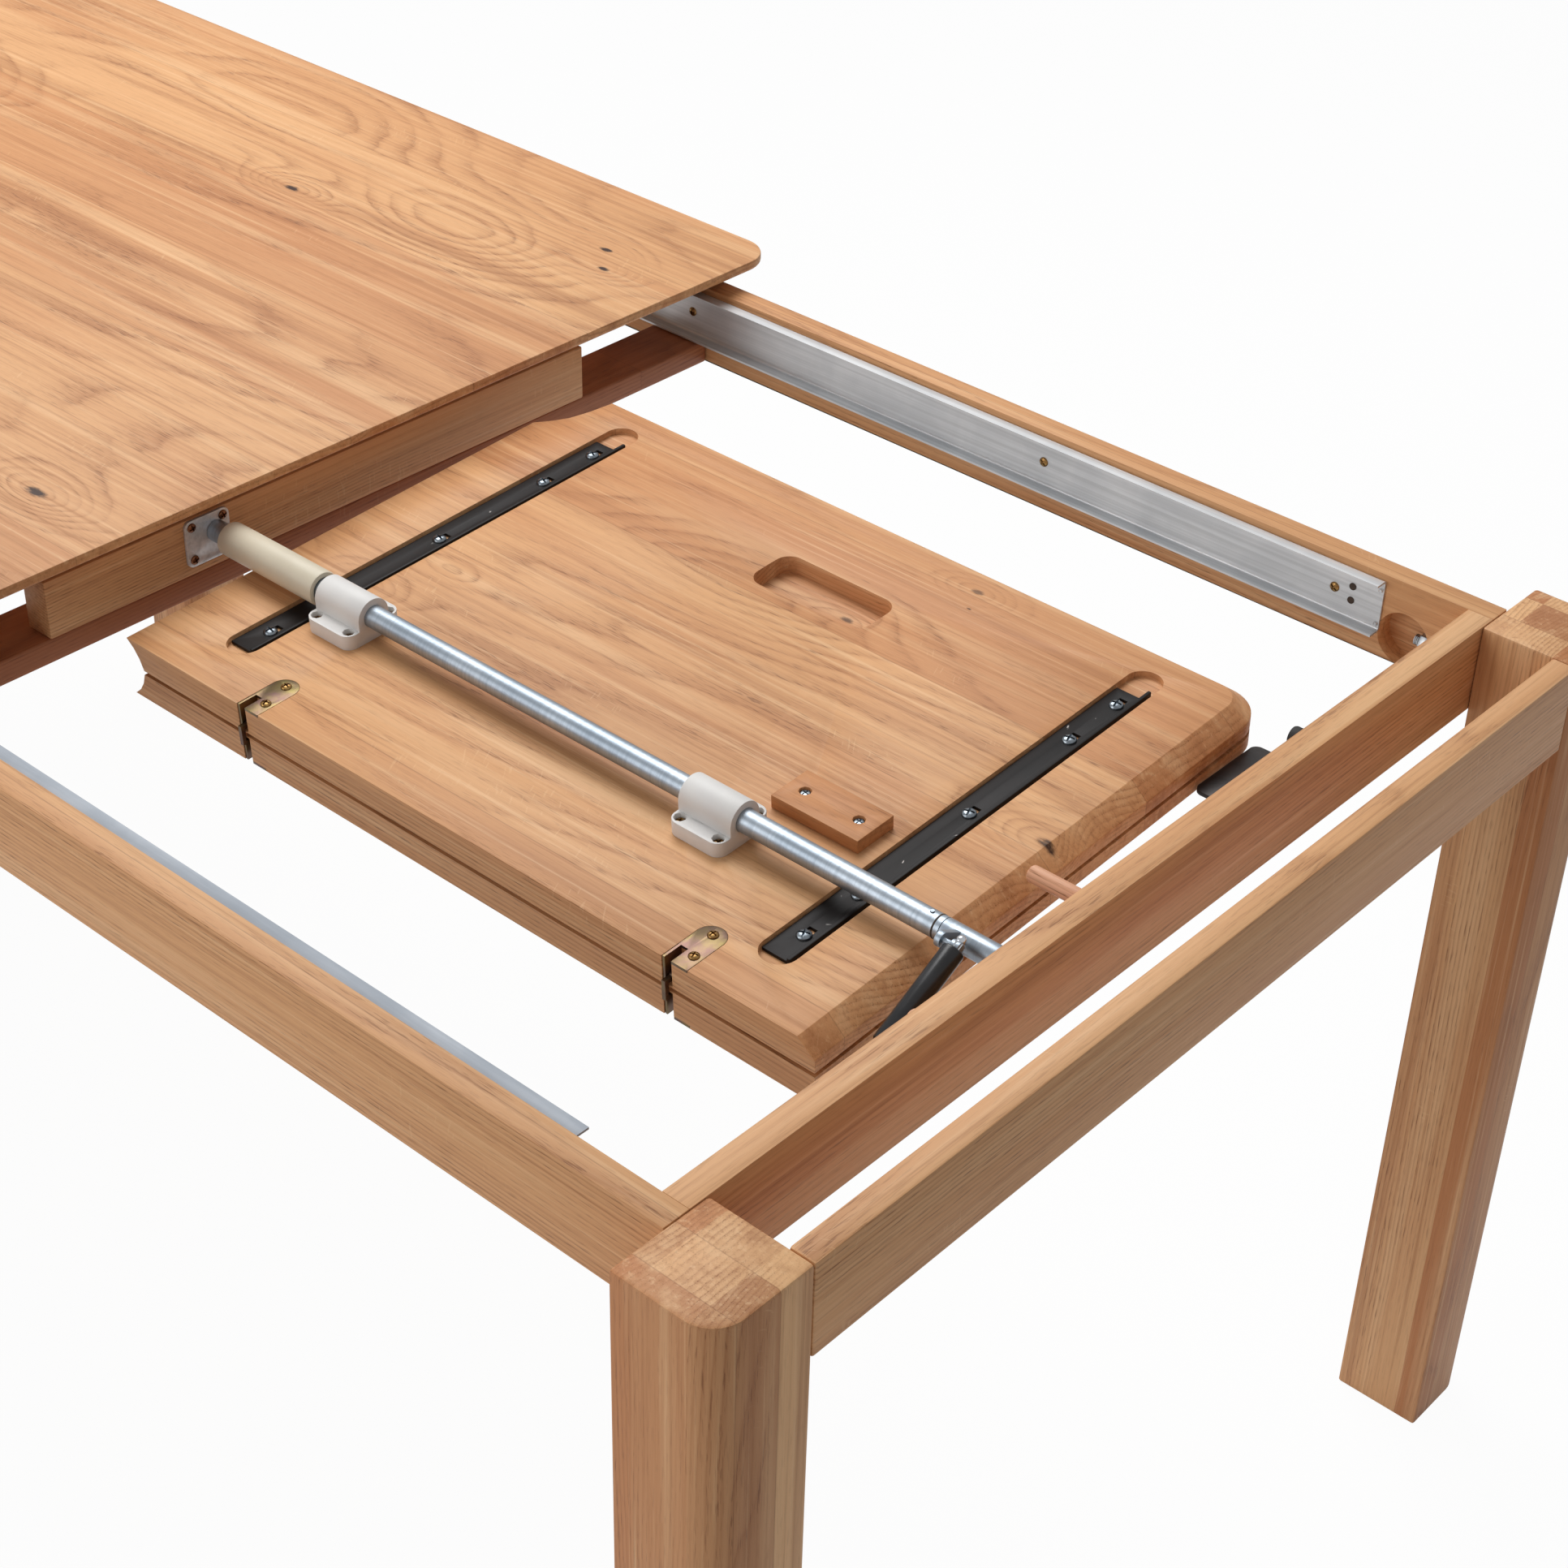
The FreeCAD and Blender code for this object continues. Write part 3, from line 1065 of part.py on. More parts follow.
several("fitting_screws", screw("fitting_head", "flat_head_high", "fitting_screw"), places)

nutX = V["bolt_x"] - V["bolt_pocket"] / 2 + 2
nutHigh = V["nut_high"]
stud = prism(8, V["bolt_dia"], 0, V["bolt_length"])
bolt = prism(6, 2 * (V["bolt_in"] - 0.5), 0, nutHigh).fuse(stud).removeSplitter()
places = []
for side in (-1, 1):
    y = side * (apronY + V["bolt_in"])
    z = V["leg_height"] - V["bolt_drop"]
    places.append(at(endX - nutX - nutHigh, y, z, TO_RIGHT))
    places.append(at(endX - V["frame_length"] + nutX + nutHigh, y, z, TO_LEFT))
several("leg_bolts", bolt, places)

# ---- every object sound, then one STEP file for each node
doc.recompute()
for obj in doc.Objects:
    if "Invalid" in obj.State or "Error" in obj.State:
        raise ValueError("%s: %s" % (obj.Label, obj.State))
nodes = [o for o in doc.Objects if o.TypeId == "PartDesign::Body"]
nodes += [o for o in doc.Objects if o.TypeId == "Part::Feature"]
for node in nodes:
    if node.Shape.isNull() or not node.Shape.isValid():
        raise ValueError("bad shape: " + node.Label)
    if node.TypeId == "PartDesign::Body" and len(node.Shape.Solids) != 1:
        raise ValueError("%s has %d solids" % (node.Label, len(node.Shape.Solids)))
    node.Shape.exportStep("parts/%s.step" % node.Label)
print("%d nodes written" % len(nodes))
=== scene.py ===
import json
from math import pi, radians, sqrt

import bmesh
import bpy
from mathutils import Matrix, Vector

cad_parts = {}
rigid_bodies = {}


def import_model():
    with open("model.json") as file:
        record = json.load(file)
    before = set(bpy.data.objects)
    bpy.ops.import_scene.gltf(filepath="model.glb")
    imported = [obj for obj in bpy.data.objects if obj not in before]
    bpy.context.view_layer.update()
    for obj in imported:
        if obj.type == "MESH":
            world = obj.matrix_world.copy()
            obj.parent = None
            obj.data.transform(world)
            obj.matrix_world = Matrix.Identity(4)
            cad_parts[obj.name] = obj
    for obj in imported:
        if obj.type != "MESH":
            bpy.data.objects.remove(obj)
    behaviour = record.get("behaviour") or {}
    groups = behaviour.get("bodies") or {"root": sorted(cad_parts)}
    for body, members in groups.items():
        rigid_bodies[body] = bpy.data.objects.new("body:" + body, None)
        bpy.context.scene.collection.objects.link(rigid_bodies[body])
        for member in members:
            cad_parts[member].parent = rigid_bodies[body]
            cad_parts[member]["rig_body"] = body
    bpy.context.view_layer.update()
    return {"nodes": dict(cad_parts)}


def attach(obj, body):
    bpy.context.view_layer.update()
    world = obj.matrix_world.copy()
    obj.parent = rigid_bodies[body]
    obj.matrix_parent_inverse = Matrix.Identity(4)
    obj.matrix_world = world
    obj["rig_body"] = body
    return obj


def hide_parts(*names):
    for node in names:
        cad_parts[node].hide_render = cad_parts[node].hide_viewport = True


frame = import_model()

nodes = frame["nodes"]
print("frame loaded:", len(nodes), "nodes")


# Small helpers for shader trees

def addNode(tree, kind, sockets=None, **settings):
    made = tree.nodes.new(kind)
    for name, value in settings.items():
        setattr(made, name, value)
    for key, value in (sockets or {}).items():
        if isinstance(value, bpy.types.NodeSocket):
            tree.links.new(value, made.inputs[key])
        else:
            made.inputs[key].default_value = value
    return made


def sums(tree, operation, *values):
    return addNode(tree, "ShaderNodeMath", dict(enumerate(values)), operation=operation).outputs[0]


def vectors(tree, operation, *values):
    return addNode(tree, "ShaderNodeVectorMath", dict(enumerate(values)), operation=operation).outputs


def stretch(tree, vector, scale, shift=(0, 0, 0)):
    return addNode(tree, "ShaderNodeMapping", {"Vector": vector, "Scale": scale, "Location": shift}).outputs[0]


def noise(tree, vector, scale=1.0, detail=2.0, rough=0.5, warp=0.0):
    sockets = {"Vector": vector, "Scale": scale, "Detail": detail, "Roughness": rough, "Distortion": warp}
    return addNode(tree, "ShaderNodeTexNoise", sockets)


def spread(tree, value, low, high, toLow=0.0, toHigh=1.0):
    sockets = {"Value": value, "From Min": low, "From Max": high, "To Min": toLow, "To Max": toHigh}
    return addNode(tree, "ShaderNodeMapRange", sockets, interpolation_type="SMOOTHSTEP").outputs[0]


def blendColour(tree, amount, first, second):
    # Sockets 6, 7 and 2 are the Mix node's two colours and its colour result
    return addNode(tree, "ShaderNodeMix", {0: amount, 6: first, 7: second}, data_type="RGBA").outputs[2]


def shade(r, g, b):
    # A colour as it is seen on a screen, 0 to 255, made linear for the shader
    parts = [part / 255 for part in (r, g, b)]
    return (*[part / 12.92 if part <= 0.04045 else ((part + 0.055) / 1.055) ** 2.4 for part in parts], 1.0)


def newGroup(name, inputs, outputs):
    tree = bpy.data.node_groups.new(name, "ShaderNodeTree")
    for label, kind in inputs:
        tree.interface.new_socket(label, in_out="INPUT", socket_type="NodeSocket" + kind)
    for label, kind in outputs:
        tree.interface.new_socket(label, in_out="OUTPUT", socket_type="NodeSocket" + kind)
    return tree, tree.nodes.new("NodeGroupInput").outputs, tree.nodes.new("NodeGroupOutput").inputs


def useGroup(tree, group, sockets):
    return addNode(tree, "ShaderNodeGroup", sockets, node_tree=group).outputs


# Glued oak staves with their growth rings; the grain runs along X of the vector.
# Lengths are in metres: how far the heart lies aside and below, its lean and sway, and the growth of a year.

ringLook = {"heartSpread": 0.16, "heartDepth": -0.085, "heartTop": -0.008, "leanY": 0.03, "leanZ": 0.06,
            "swayY": 0.05, "swayZ": 0.06, "wobble": (1.1, 4.0, 4.0), "feather": 0.0032,
            "featherScale": (9.0, 45.0, 45.0), "pitch": 0.0026, "pitchVary": 0.0018, "shuffle": 7.0,
            "seam": (0.0001, 0.0006)}


def makeStaves():
    tree, given, result = newGroup(
        "oakStaves",
        [("Vector", "Vector"), ("Width", "Float"), ("Depth", "Float"), ("Length", "Float"), ("Seed", "Float")],
        [("Ring", "Float"), ("Tone", "Float"), ("Tint", "Float"), ("Seam", "Float")])
    place = addNode(tree, "ShaderNodeSeparateXYZ", {0: given["Vector"]}).outputs
    across = sums(tree, "DIVIDE", place["Y"], given["Width"])
    through = sums(tree, "DIVIDE", place["Z"], given["Depth"])
    row = sums(tree, "FLOOR", across)
    layer = sums(tree, "FLOOR", through)
    # Each row of staves is shifted along by its own luck, and each stave then has luck of its own
    rowKey = addNode(tree, "ShaderNodeCombineXYZ", {0: row, 1: layer, 2: given["Seed"]}).outputs[0]
    rowLuck = addNode(tree, "ShaderNodeTexWhiteNoise", {"Vector": rowKey}, noise_dimensions="3D").outputs["Value"]
    along = sums(tree, "DIVIDE", place["X"], given["Length"])
    along = sums(tree, "MULTIPLY_ADD", rowLuck, ringLook["shuffle"], along)
    column = sums(tree, "FLOOR", along)
    rowSeed = sums(tree, "ADD", row, given["Seed"])
    layerSeed = sums(tree, "MULTIPLY_ADD", layer, 3.7, 0.5)
    key = addNode(tree, "ShaderNodeCombineXYZ", {0: rowSeed, 1: layerSeed, 2: column}).outputs[0]
    luckNode = addNode(tree, "ShaderNodeTexWhiteNoise", {"Vector": key}, noise_dimensions="3D")
    luck = addNode(tree, "ShaderNodeSeparateColor", {0: luckNode.outputs["Color"]}).outputs
    # The heart of the log lies beside each stave, and its line runs a little askew and bent
    drift = vectors(tree, "ADD", given["Vector"], luckNode.outputs["Color"])[0]
    wobble = noise(tree, stretch(tree, drift, ringLook["wobble"]), 1.0, 1.0, 0.4)
    sway = addNode(tree, "ShaderNodeSeparateColor", {0: wobble.outputs["Color"]}).outputs
    feather = noise(tree, stretch(tree, drift, ringLook["featherScale"]), 1.0, 2.0, 0.5).outputs[0]
    rowMiddle = sums(tree, "MULTIPLY", sums(tree, "ADD", row, 0.5), given["Width"])
    heartY = sums(tree, "MULTIPLY_ADD", sums(tree, "ADD", luck[0], -0.5), ringLook["heartSpread"], rowMiddle)
    heartZ = sums(tree, "MULTIPLY_ADD", luck[1], ringLook["heartDepth"], ringLook["heartTop"])
    squares = []
    for label, heart, leanLuck, swing in (("Y", heartY, luck[2], sway[0]),
                                          ("Z", heartZ, luckNode.outputs["Value"], sway[1])):
        lean = sums(tree, "MULTIPLY", sums(tree, "ADD", leanLuck, -0.5), ringLook["lean" + label])
        off = sums(tree, "SUBTRACT", place[label], heart)
        off = sums(tree, "MULTIPLY_ADD", place["X"], lean, off)
        off = sums(tree, "MULTIPLY_ADD", sums(tree, "ADD", swing, -0.5), ringLook["sway" + label], off)
        squares.append(sums(tree, "MULTIPLY", off, off))
    reach = sums(tree, "MULTIPLY_ADD", feather, ringLook["feather"], sums(tree, "SQRT", sums(tree, "ADD", *squares)))
    pitch = sums(tree, "MULTIPLY_ADD", luck[2], ringLook["pitchVary"], ringLook["pitch"])
    tree.links.new(sums(tree, "DIVIDE", reach, pitch), result["Ring"])
    tree.links.new(luck[0], result["Tone"])
    tree.links.new(luck[1], result["Tint"])
    # Glue lines: the distance to the nearest joint between staves
    edges = []
    for share, size in ((across, given["Width"]), (along, given["Length"])):
        part = sums(tree, "FRACT", share)
        edges.append(sums(tree, "MULTIPLY", sums(tree, "MINIMUM", part, sums(tree, "SUBTRACT", 1.0, part)), size))
    nearest = sums(tree, "MINIMUM", *edges)
    tree.links.new(spread(tree, nearest, *ringLook["seam"], 1.0, 0.0), result["Seam"])
    return tree


# Fine fibres, open pores and pale rays; the grain runs along X of the vector.
# Each layer of noise has its waves per metre, a shift, detail, roughness and distortion.

fibreLook = {
    "Streak": ((3.5, 260.0, 260.0), (0, 0, 0), 3.0, 0.62, 0.0),
    "Pore": ((75.0, 1250.0, 1250.0), (0, 0, 0), 1.0, 0.5, 0.0),
    "Cloud": ((2.4, 14.0, 14.0), (3.0, 1.0, 5.0), 3.0, 0.55, 0.3),
    "Band": ((0.9, 42.0, 42.0), (8.0, 3.0, 2.0), 2.0, 0.6, 0.0),
    "Fade": ((3.2, 22.0, 22.0), (1.0, 7.0, 4.0), 1.0, 0.5, 0.0),
    "Where": ((7.0, 24.0, 24.0), (5.0, 2.0, 1.0), 1.0, 0.5, 0.0),
}
rayLook = {"bendScale": 26.0, "bend": 0.012, "slant": 58, "scale": (85.0, 620.0, 85.0)}


def makeFibres():
    tree, given, result = newGroup(
        "oakFibres", [("Vector", "Vector")],
        [(label, "Float") for label in ("Streak", "Pore", "Ray", "Cloud", "Band", "Fade")])
    layers = {}
    for label, (scale, shift, detail, rough, warp) in fibreLook.items():
        moved = stretch(tree, given["Vector"], scale, shift)
        layers[label] = noise(tree, moved, 1.0, detail, rough, warp).outputs[0]
    # Rays are short strokes that slant across the grain and come in patches
    bent = noise(tree, given["Vector"], rayLook["bendScale"], 1.0, 0.5).outputs[1]
    bent = vectors(tree, "MULTIPLY_ADD", bent, [rayLook["bend"]] * 3, given["Vector"])[0]
    turn = (0, 0, radians(rayLook["slant"]))
    slant = addNode(tree, "ShaderNodeMapping", {"Vector": bent, "Rotation": turn}).outputs[0]
    ray = noise(tree, stretch(tree, slant, rayLook["scale"]), 1.0, 0.0, 0.5).outputs[0]
    layers["Ray"] = sums(tree, "MULTIPLY", spread(tree, ray, 0.7, 0.77), spread(tree, layers["Where"], 0.6, 0.7))
    layers["Pore"] = spread(tree, layers["Pore"], 0.54, 0.68)
    layers["Fade"] = spread(tree, layers["Fade"], 0.32, 0.66, 0.12, 1.0)
    for label in ("Streak", "Pore", "Ray", "Cloud", "Band", "Fade"):
        tree.links.new(layers[label], result[label])
    return tree


# A knot: a dark cracked eye, and how far it pulls the rings aside

knotLook = {"stretch": (0.45, 1.0, 0.25), "cracks": (160.0, 420.0, 200.0), "ragged": 0.5, "eyeShare": 2.2,
            "eyeFade": (0.45, 0.78), "tone": (58, 34, 22)}


def makeKnot():
    tree, given, result = newGroup(
        "oakKnot",
        [("Vector", "Vector"), ("Centre", "Vector"), ("Size", "Float"), ("Pull", "Float"), ("Eye", "Float")],
        [("Pull", "Float"), ("Eye", "Float")])
    away = vectors(tree, "SUBTRACT", given["Vector"], given["Centre"])[0]
    away = vectors(tree, "MULTIPLY", away, knotLook["stretch"])[0]
    reach = vectors(tree, "LENGTH", away)["Value"]
    share = sums(tree, "DIVIDE", reach, given["Size"])
    fall = sums(tree, "EXPONENT", sums(tree, "MULTIPLY", sums(tree, "MULTIPLY", share, share), -1.0))
    tree.links.new(sums(tree, "MULTIPLY", fall, given["Pull"]), result["Pull"])
    cracks = noise(tree, stretch(tree, given["Vector"], knotLook["cracks"]), 1.0, 3.0, 0.6).outputs[0]
    edge = sums(tree, "MULTIPLY_ADD", cracks, knotLook["ragged"], sums(tree, "MULTIPLY", share, knotLook["eyeShare"]))
    eye = spread(tree, edge, *knotLook["eyeFade"], 1.0, 0.0)
    tree.links.new(sums(tree, "MULTIPLY", eye, given["Eye"]), result["Eye"])
    return tree


staves = makeStaves()
fibres = makeFibres()
knot = makeKnot()

turnToGrain = {"x": (0, 0, 0), "y": (0, 0, -pi / 2), "z": (0, pi / 2, 0)}   # brings a piece's grain onto X
ringStops = [(0.0, 0.35), (0.08, 1.0), (0.24, 0.55), (0.55, 0.12), (0.85, 0.05), (1.0, 0.35)]   # one year's growth
# How deep each mark lies in the surface, and the relief of the whole in metres
oakRelief = {"pore": -1.0, "band": -0.35, "streak": 0.5, "eye": -1.5, "distance": 0.0004}


def newMaterial(name):
    made = bpy.data.materials.new(name)
    made.use_nodes = True
    return made, made.node_tree, made.node_tree.nodes["Principled BSDF"]


def addRelief(tree, shader, height, strength, distance):
    bump = addNode(tree, "ShaderNodeBump", {"Strength": strength, "Distance": distance, "Height": height})
    tree.links.new(bump.outputs[0], shader.inputs["Normal"])


def oak(name, look):
    made, tree, shader = newMaterial(name)
    tone = {label: shade(*look[label]) for label in ("pale", "deep", "red", "light", "ring", "pore", "ray")}
    place = addNode(tree, "ShaderNodeTexCoord").outputs["Object"]
    grain = addNode(tree, "ShaderNodeMapping", {"Vector": place, "Rotation": turnToGrain[look["grain"]]}).outputs[0]
    width, depth, length = look["stave"]
    board = useGroup(tree, staves, {"Vector": grain, "Width": width, "Depth": depth, "Length": length,
                                    "Seed": look["seed"]})
    fine = useGroup(tree, fibres, {"Vector": grain})
    ring = board["Ring"]
    eyes = None
    for centre, size, pull, eye in look.get("knots", []):
        one = useGroup(tree, knot, {"Vector": grain, "Centre": centre, "Size": size, "Pull": pull, "Eye": eye})
        ring = sums(tree, "ADD", ring, one["Pull"])
        eyes = one["Eye"] if eyes is None else sums(tree, "MAXIMUM", eyes, one["Eye"])
    profile = addNode(tree, "ShaderNodeValToRGB", {"Fac": sums(tree, "FRACT", ring)})
    ramp = profile.color_ramp
    while len(ramp.elements) < len(ringStops):
        ramp.elements.new(0.5)
    for element, (at, level) in zip(ramp.elements, ringStops):
        element.position = at
        element.color = (level, level, level, 1.0)
    band = sums(tree, "MULTIPLY", profile.outputs[0], fine["Fade"])
    # Colour: stave tone first, then clouds and long bands, rings, fibres, pores, rays and glue lines.
    # Each row has a mask, the levels of it that start and end the blend, the blend's strength and the tone.
    colour = blendColour(tree, board["Tone"], tone["pale"], tone["deep"])
    for mask, low, high, strength, label in (
            (board["Tint"], 0.6, 1.0, "flush", "red"), (fine["Cloud"], 0.48, 0.72, "clouds", "red"),
            (fine["Band"], 0.52, 0.7, "bands", "light"), (fine["Band"], 0.46, 0.3, "bands", "ring")):
        colour = blendColour(tree, spread(tree, mask, low, high, 0.0, look[strength]), colour, tone[label])
    colour = blendColour(tree, sums(tree, "MULTIPLY", band, look["rings"]), colour, tone["ring"])
    for low, high, label in ((0.5, 0.74, "ring"), (0.46, 0.26, "light")):
        streakHere = spread(tree, fine["Streak"], low, high, 0.0, look["streaks"])
        colour = blendColour(tree, streakHere, colour, tone[label])
    poreHere = sums(tree, "MULTIPLY", fine["Pore"], sums(tree, "MULTIPLY_ADD", band, look["pores"], 0.08))
    rayHere = sums(tree, "MULTIPLY", fine["Ray"], spread(tree, board["Tint"], 0.2, 0.5, 0.2, look["rays"]))
    seamHere = sums(tree, "MULTIPLY", board["Seam"], 0.3)
    for mask, label in ((poreHere, "pore"), (rayHere, "ray"), (seamHere, "pore")):
        colour = blendColour(tree, mask, colour, tone[label])
    if eyes is not None:
        colour = blendColour(tree, eyes, colour, shade(*knotLook["tone"]))
    tree.links.new(colour, shader.inputs["Base Color"])
    rough = sums(tree, "MULTIPLY_ADD", fine["Streak"], look["roughVary"], look["rough"])
    tree.links.new(sums(tree, "MULTIPLY_ADD", rayHere, look["rayRough"], rough), shader.inputs["Roughness"])
    height = sums(tree, "MULTIPLY", band, oakRelief["band"])
    height = sums(tree, "MULTIPLY_ADD", poreHere, oakRelief["pore"], height)
    height = sums(tree, "MULTIPLY_ADD", fine["Streak"], oakRelief["streak"], height)
    if eyes is not None:
        height = sums(tree, "MULTIPLY_ADD", eyes, oakRelief["eye"], height)
    addRelief(tree, shader, height, look["bump"], oakRelief["distance"])
    shader.inputs["Specular IOR Level"].default_value = look["shine"]
    return made


# Stave is its width, depth and length in metres; tones are as seen on a screen, and shares run from 0 to 1
oakLook = {
    "grain": "x", "stave": (0.118, 0.2, 30.0), "seed": 3.0, "rough": 0.4, "roughVary": 0.16, "rayRough": -0.12,
    "bump": 0.3, "shine": 0.25,
    "pale": (220, 168, 119), "deep": (206, 150, 103), "red": (193, 130, 84), "light": (238, 197, 151),
    "ring": (156, 99, 59), "pore": (116, 70, 40), "ray": (236, 198, 152),
    "flush": 0.45, "clouds": 0.45, "bands": 0.4, "rings": 0.52, "streaks": 0.42, "pores": 0.6, "rays": 0.2,
}
# Knots: centre in metres with the grain along X, size, how many rings it pulls aside, and how dark its eye is
topKnots = [((0.046, 0.253, 0.7435), 0.02, 6.0, 1.0), ((0.315, 0.353, 0.7435), 0.016, 4.0, 1.0),
            ((0.338, 0.326, 0.7435), 0.014, 3.0, 1.0), ((0.322, -0.202, 0.7435), 0.024, 6.0, 1.0),
            ((0.2, 0.296, 0.7435), 0.05, 6.0, 0.0), ((-0.07, 0.38, 0.7435), 0.07, 4.0, 0.0),
            ((-0.62, -0.12, 0.7435), 0.02, 5.0, 1.0), ((-0.4, 0.2, 0.7435), 0.05, 7.0, 0.0)]
leafKnots = [((0.828, 0.198, 0.707), 0.014, 4.0, 0.7), ((0.836, 0.178, 0.707), 0.006, 1.0, 1.0),
             ((1.036, 0.01, 0.702), 0.022, 5.0, 1.0), ((0.497, -0.071, 0.707), 0.018, 5.0, 1.0),
             ((0.534, -0.019, 0.707), 0.01, 2.0, 0.9), ((0.769, 0.13, 0.69), 0.014, 3.0, 0.8),
             ((0.7, 0.1, 0.707), 0.05, 4.0, 0.0)]
oakTop = oak("oakTop", {**oakLook, "knots": topKnots})
oakLeaf = oak("oakLeaf", {**oakLook, "seed": 11.0, "stave": (0.096, 0.06, 30.0), "knots": leafKnots})
oakLeg = oak("oakLeg", {**oakLook, "grain": "z", "seed": 5.0, "stave": (0.031, 0.039, 30.0), "pale": (232, 184, 134),
                        "deep": (172, 114, 74), "flush": 0.8})
oakSide = oak("oakSide", {**oakLook, "seed": 7.0, "stave": (0.2, 0.2, 30.0)})
oakEnd = oak("oakEnd", {**oakLook, "grain": "y", "seed": 9.0, "stave": (0.2, 0.2, 30.0)})
oakBar = oak("oakBar", {**oakLook, "grain": "y", "seed": 13.0, "stave": (0.2, 0.2, 30.0)})
# Darker oak for the middle crossbar: painted shade for the tabletop's shadow on its flat top
oakMiddlePaintedShade = oak("oakMiddlePaintedShade", {**oakLook, "grain": "y", "seed": 14.0, "stave": (0.2, 0.2, 0.7), "pale": (176, 112, 76),
                              "deep": (158, 98, 66), "red": (146, 88, 60), "light": (186, 124, 86),
                              "ring": (124, 72, 48), "pore": (96, 56, 38), "ray": (190, 136, 100)})
oakPivot = oak("oakPivot", {**oakLook, "grain": "y", "seed": 15.0, "stave": (0.2, 0.2, 30.0)})
oakRunner = oak("oakRunner", {**oakLook, "seed": 17.0, "stave": (0.2, 0.2, 0.7)})
oakBlock = oak("oakBlock", {**oakLook, "seed": 19.0, "stave": (0.2, 0.2, 0.5), "pale": (204, 144, 96),
                            "deep": (190, 130, 84), "red": (182, 120, 78), "light": (216, 158, 108)})
oakDowel = oak("oakDowel", {**oakLook, "seed": 21.0, "stave": (0.2, 0.2, 0.5), "pale": (226, 172, 138),
                            "deep": (212, 154, 122), "red": (204, 146, 114), "light": (236, 190, 156)})
print("oak finishes made")


# Metals, plastics and rubber. Drawn is the waves per metre of the rolling marks, and patch those of the
# cloudy change between the first and second tone.

def metal(name, look):
    made, tree, shader = newMaterial(name)
    place = addNode(tree, "ShaderNodeTexCoord").outputs["Object"]
    drawn = noise(tree, stretch(tree, place, look["drawn"]), 1.0, 4.0, 0.6).outputs[0]
    patch = noise(tree, place, look["patch"], 3.0, 0.55, 0.4).outputs[0]
    colour = blendColour(tree, spread(tree, patch, 0.3, 0.7), shade(*look["first"]), shade(*look["second"]))
    colour = blendColour(tree, spread(tree, drawn, 0.35, 0.7, 0.0, look["lines"]), colour, shade(*look["line"]))
    wear = noise(tree, stretch(tree, place, look.get("wearScale", (300, 300, 300))), 1.0, 2.0, 0.6, 0.6).outputs[0]
    wearFrom = look.get("wearFrom", 0.8)
    worn = spread(tree, wear, wearFrom, wearFrom + 0.06)
    colour = blendColour(tree, worn, colour, shade(*look.get("worn", look["line"])))
    tree.links.new(colour, shader.inputs["Base Color"])
    tree.links.new(sums(tree, "MULTIPLY_ADD", drawn, look["roughVary"], look["rough"]), shader.inputs["Roughness"])
    shader.inputs["Metallic"].default_value = look["metallic"]
    shader.inputs["Specular IOR Level"].default_value = look.get("shine", 0.5)
    addRelief(tree, shader, drawn, look["bump"], 0.0002)
    return made


galvanised = metal("galvanised", {
    "first": (220, 222, 224), "second": (205, 208, 211), "line": (168, 171, 173),
    "lines": 0.5, "drawn": (3, 260, 260), "patch": 22.0,
    "rough": 0.36, "roughVary": 0.16, "metallic": 0.55, "bump": 0.15})
# A darker, duller copy of the galvanised steel: painted shade that holds down the lamp's reflection on the near slide
paintedShadeSteel = metal("paintedShadeSteel", {
    "first": (176, 182, 190), "second": (160, 167, 176), "line": (134, 142, 152),
    "lines": 0.4, "drawn": (7, 120, 120), "patch": 22.0,
    "rough": 0.6, "roughVary": 0.1, "metallic": 0.15, "bump": 0.12})
zincTube = metal("zincTube", {
    "first": (168, 177, 186), "second": (148, 159, 170), "line": (122, 134, 146),
    "lines": 0.4, "drawn": (600, 30, 30), "patch": 14.0,
    "rough": 0.34, "roughVary": 0.12, "metallic": 0.85, "bump": 0.1})
barSteel = metal("barSteel", {
    "first": (22, 18, 18), "second": (15, 13, 13), "line": (31, 27, 26),
    "lines": 0.5, "drawn": (90, 7, 90), "patch": 40.0,
    "rough": 0.4, "roughVary": 0.2, "metallic": 0.2, "bump": 0.2,
    "wearScale": (160, 70, 160), "wearFrom": 0.73, "worn": (188, 182, 178), "shine": 0.22})
blackSteel = metal("blackSteel", {
    "first": (52, 47, 46), "second": (36, 33, 33), "line": (70, 64, 62),
    "lines": 0.4, "drawn": (60, 60, 8), "patch": 40.0,
    "rough": 0.34, "roughVary": 0.2, "metallic": 0.4, "bump": 0.2,
    "wearScale": (200, 60, 200), "wearFrom": 0.74, "worn": (150, 145, 142)})
# Dark brown for painted shade: the inside of the spare holes and the gap at the tube's end
paintedShadeBrown = metal("paintedShadeBrown", {
    "first": (66, 50, 38), "second": (48, 36, 28), "line": (84, 66, 50),
    "lines": 0.3, "drawn": (300, 300, 300), "patch": 60.0,
    "rough": 0.7, "roughVary": 0.1, "metallic": 0.0, "bump": 0.05})
gasBlack = metal("gasBlack", {
    "first": (30, 30, 32), "second": (22, 22, 24), "line": (44, 44, 48),
    "lines": 0.3, "drawn": (80, 80, 80), "patch": 30.0,
    "rough": 0.24, "roughVary": 0.1, "metallic": 0.1, "bump": 0.05})
gasRod = metal("gasRod", {
    "first": (214, 216, 220), "second": (200, 203, 208), "line": (176, 180, 186),
    "lines": 0.3, "drawn": (400, 60, 60), "patch": 30.0,
    "rough": 0.12, "roughVary": 0.1, "metallic": 1.0, "bump": 0.05})
hingeZinc = metal("hingeZinc", {
    "first": (120, 106, 66), "second": (98, 80, 62), "line": (106, 76, 84),
    "lines": 0.6, "drawn": (90, 60, 20), "patch": 75.0,
    "rough": 0.26, "roughVary": 0.2, "metallic": 0.95, "bump": 0.15})
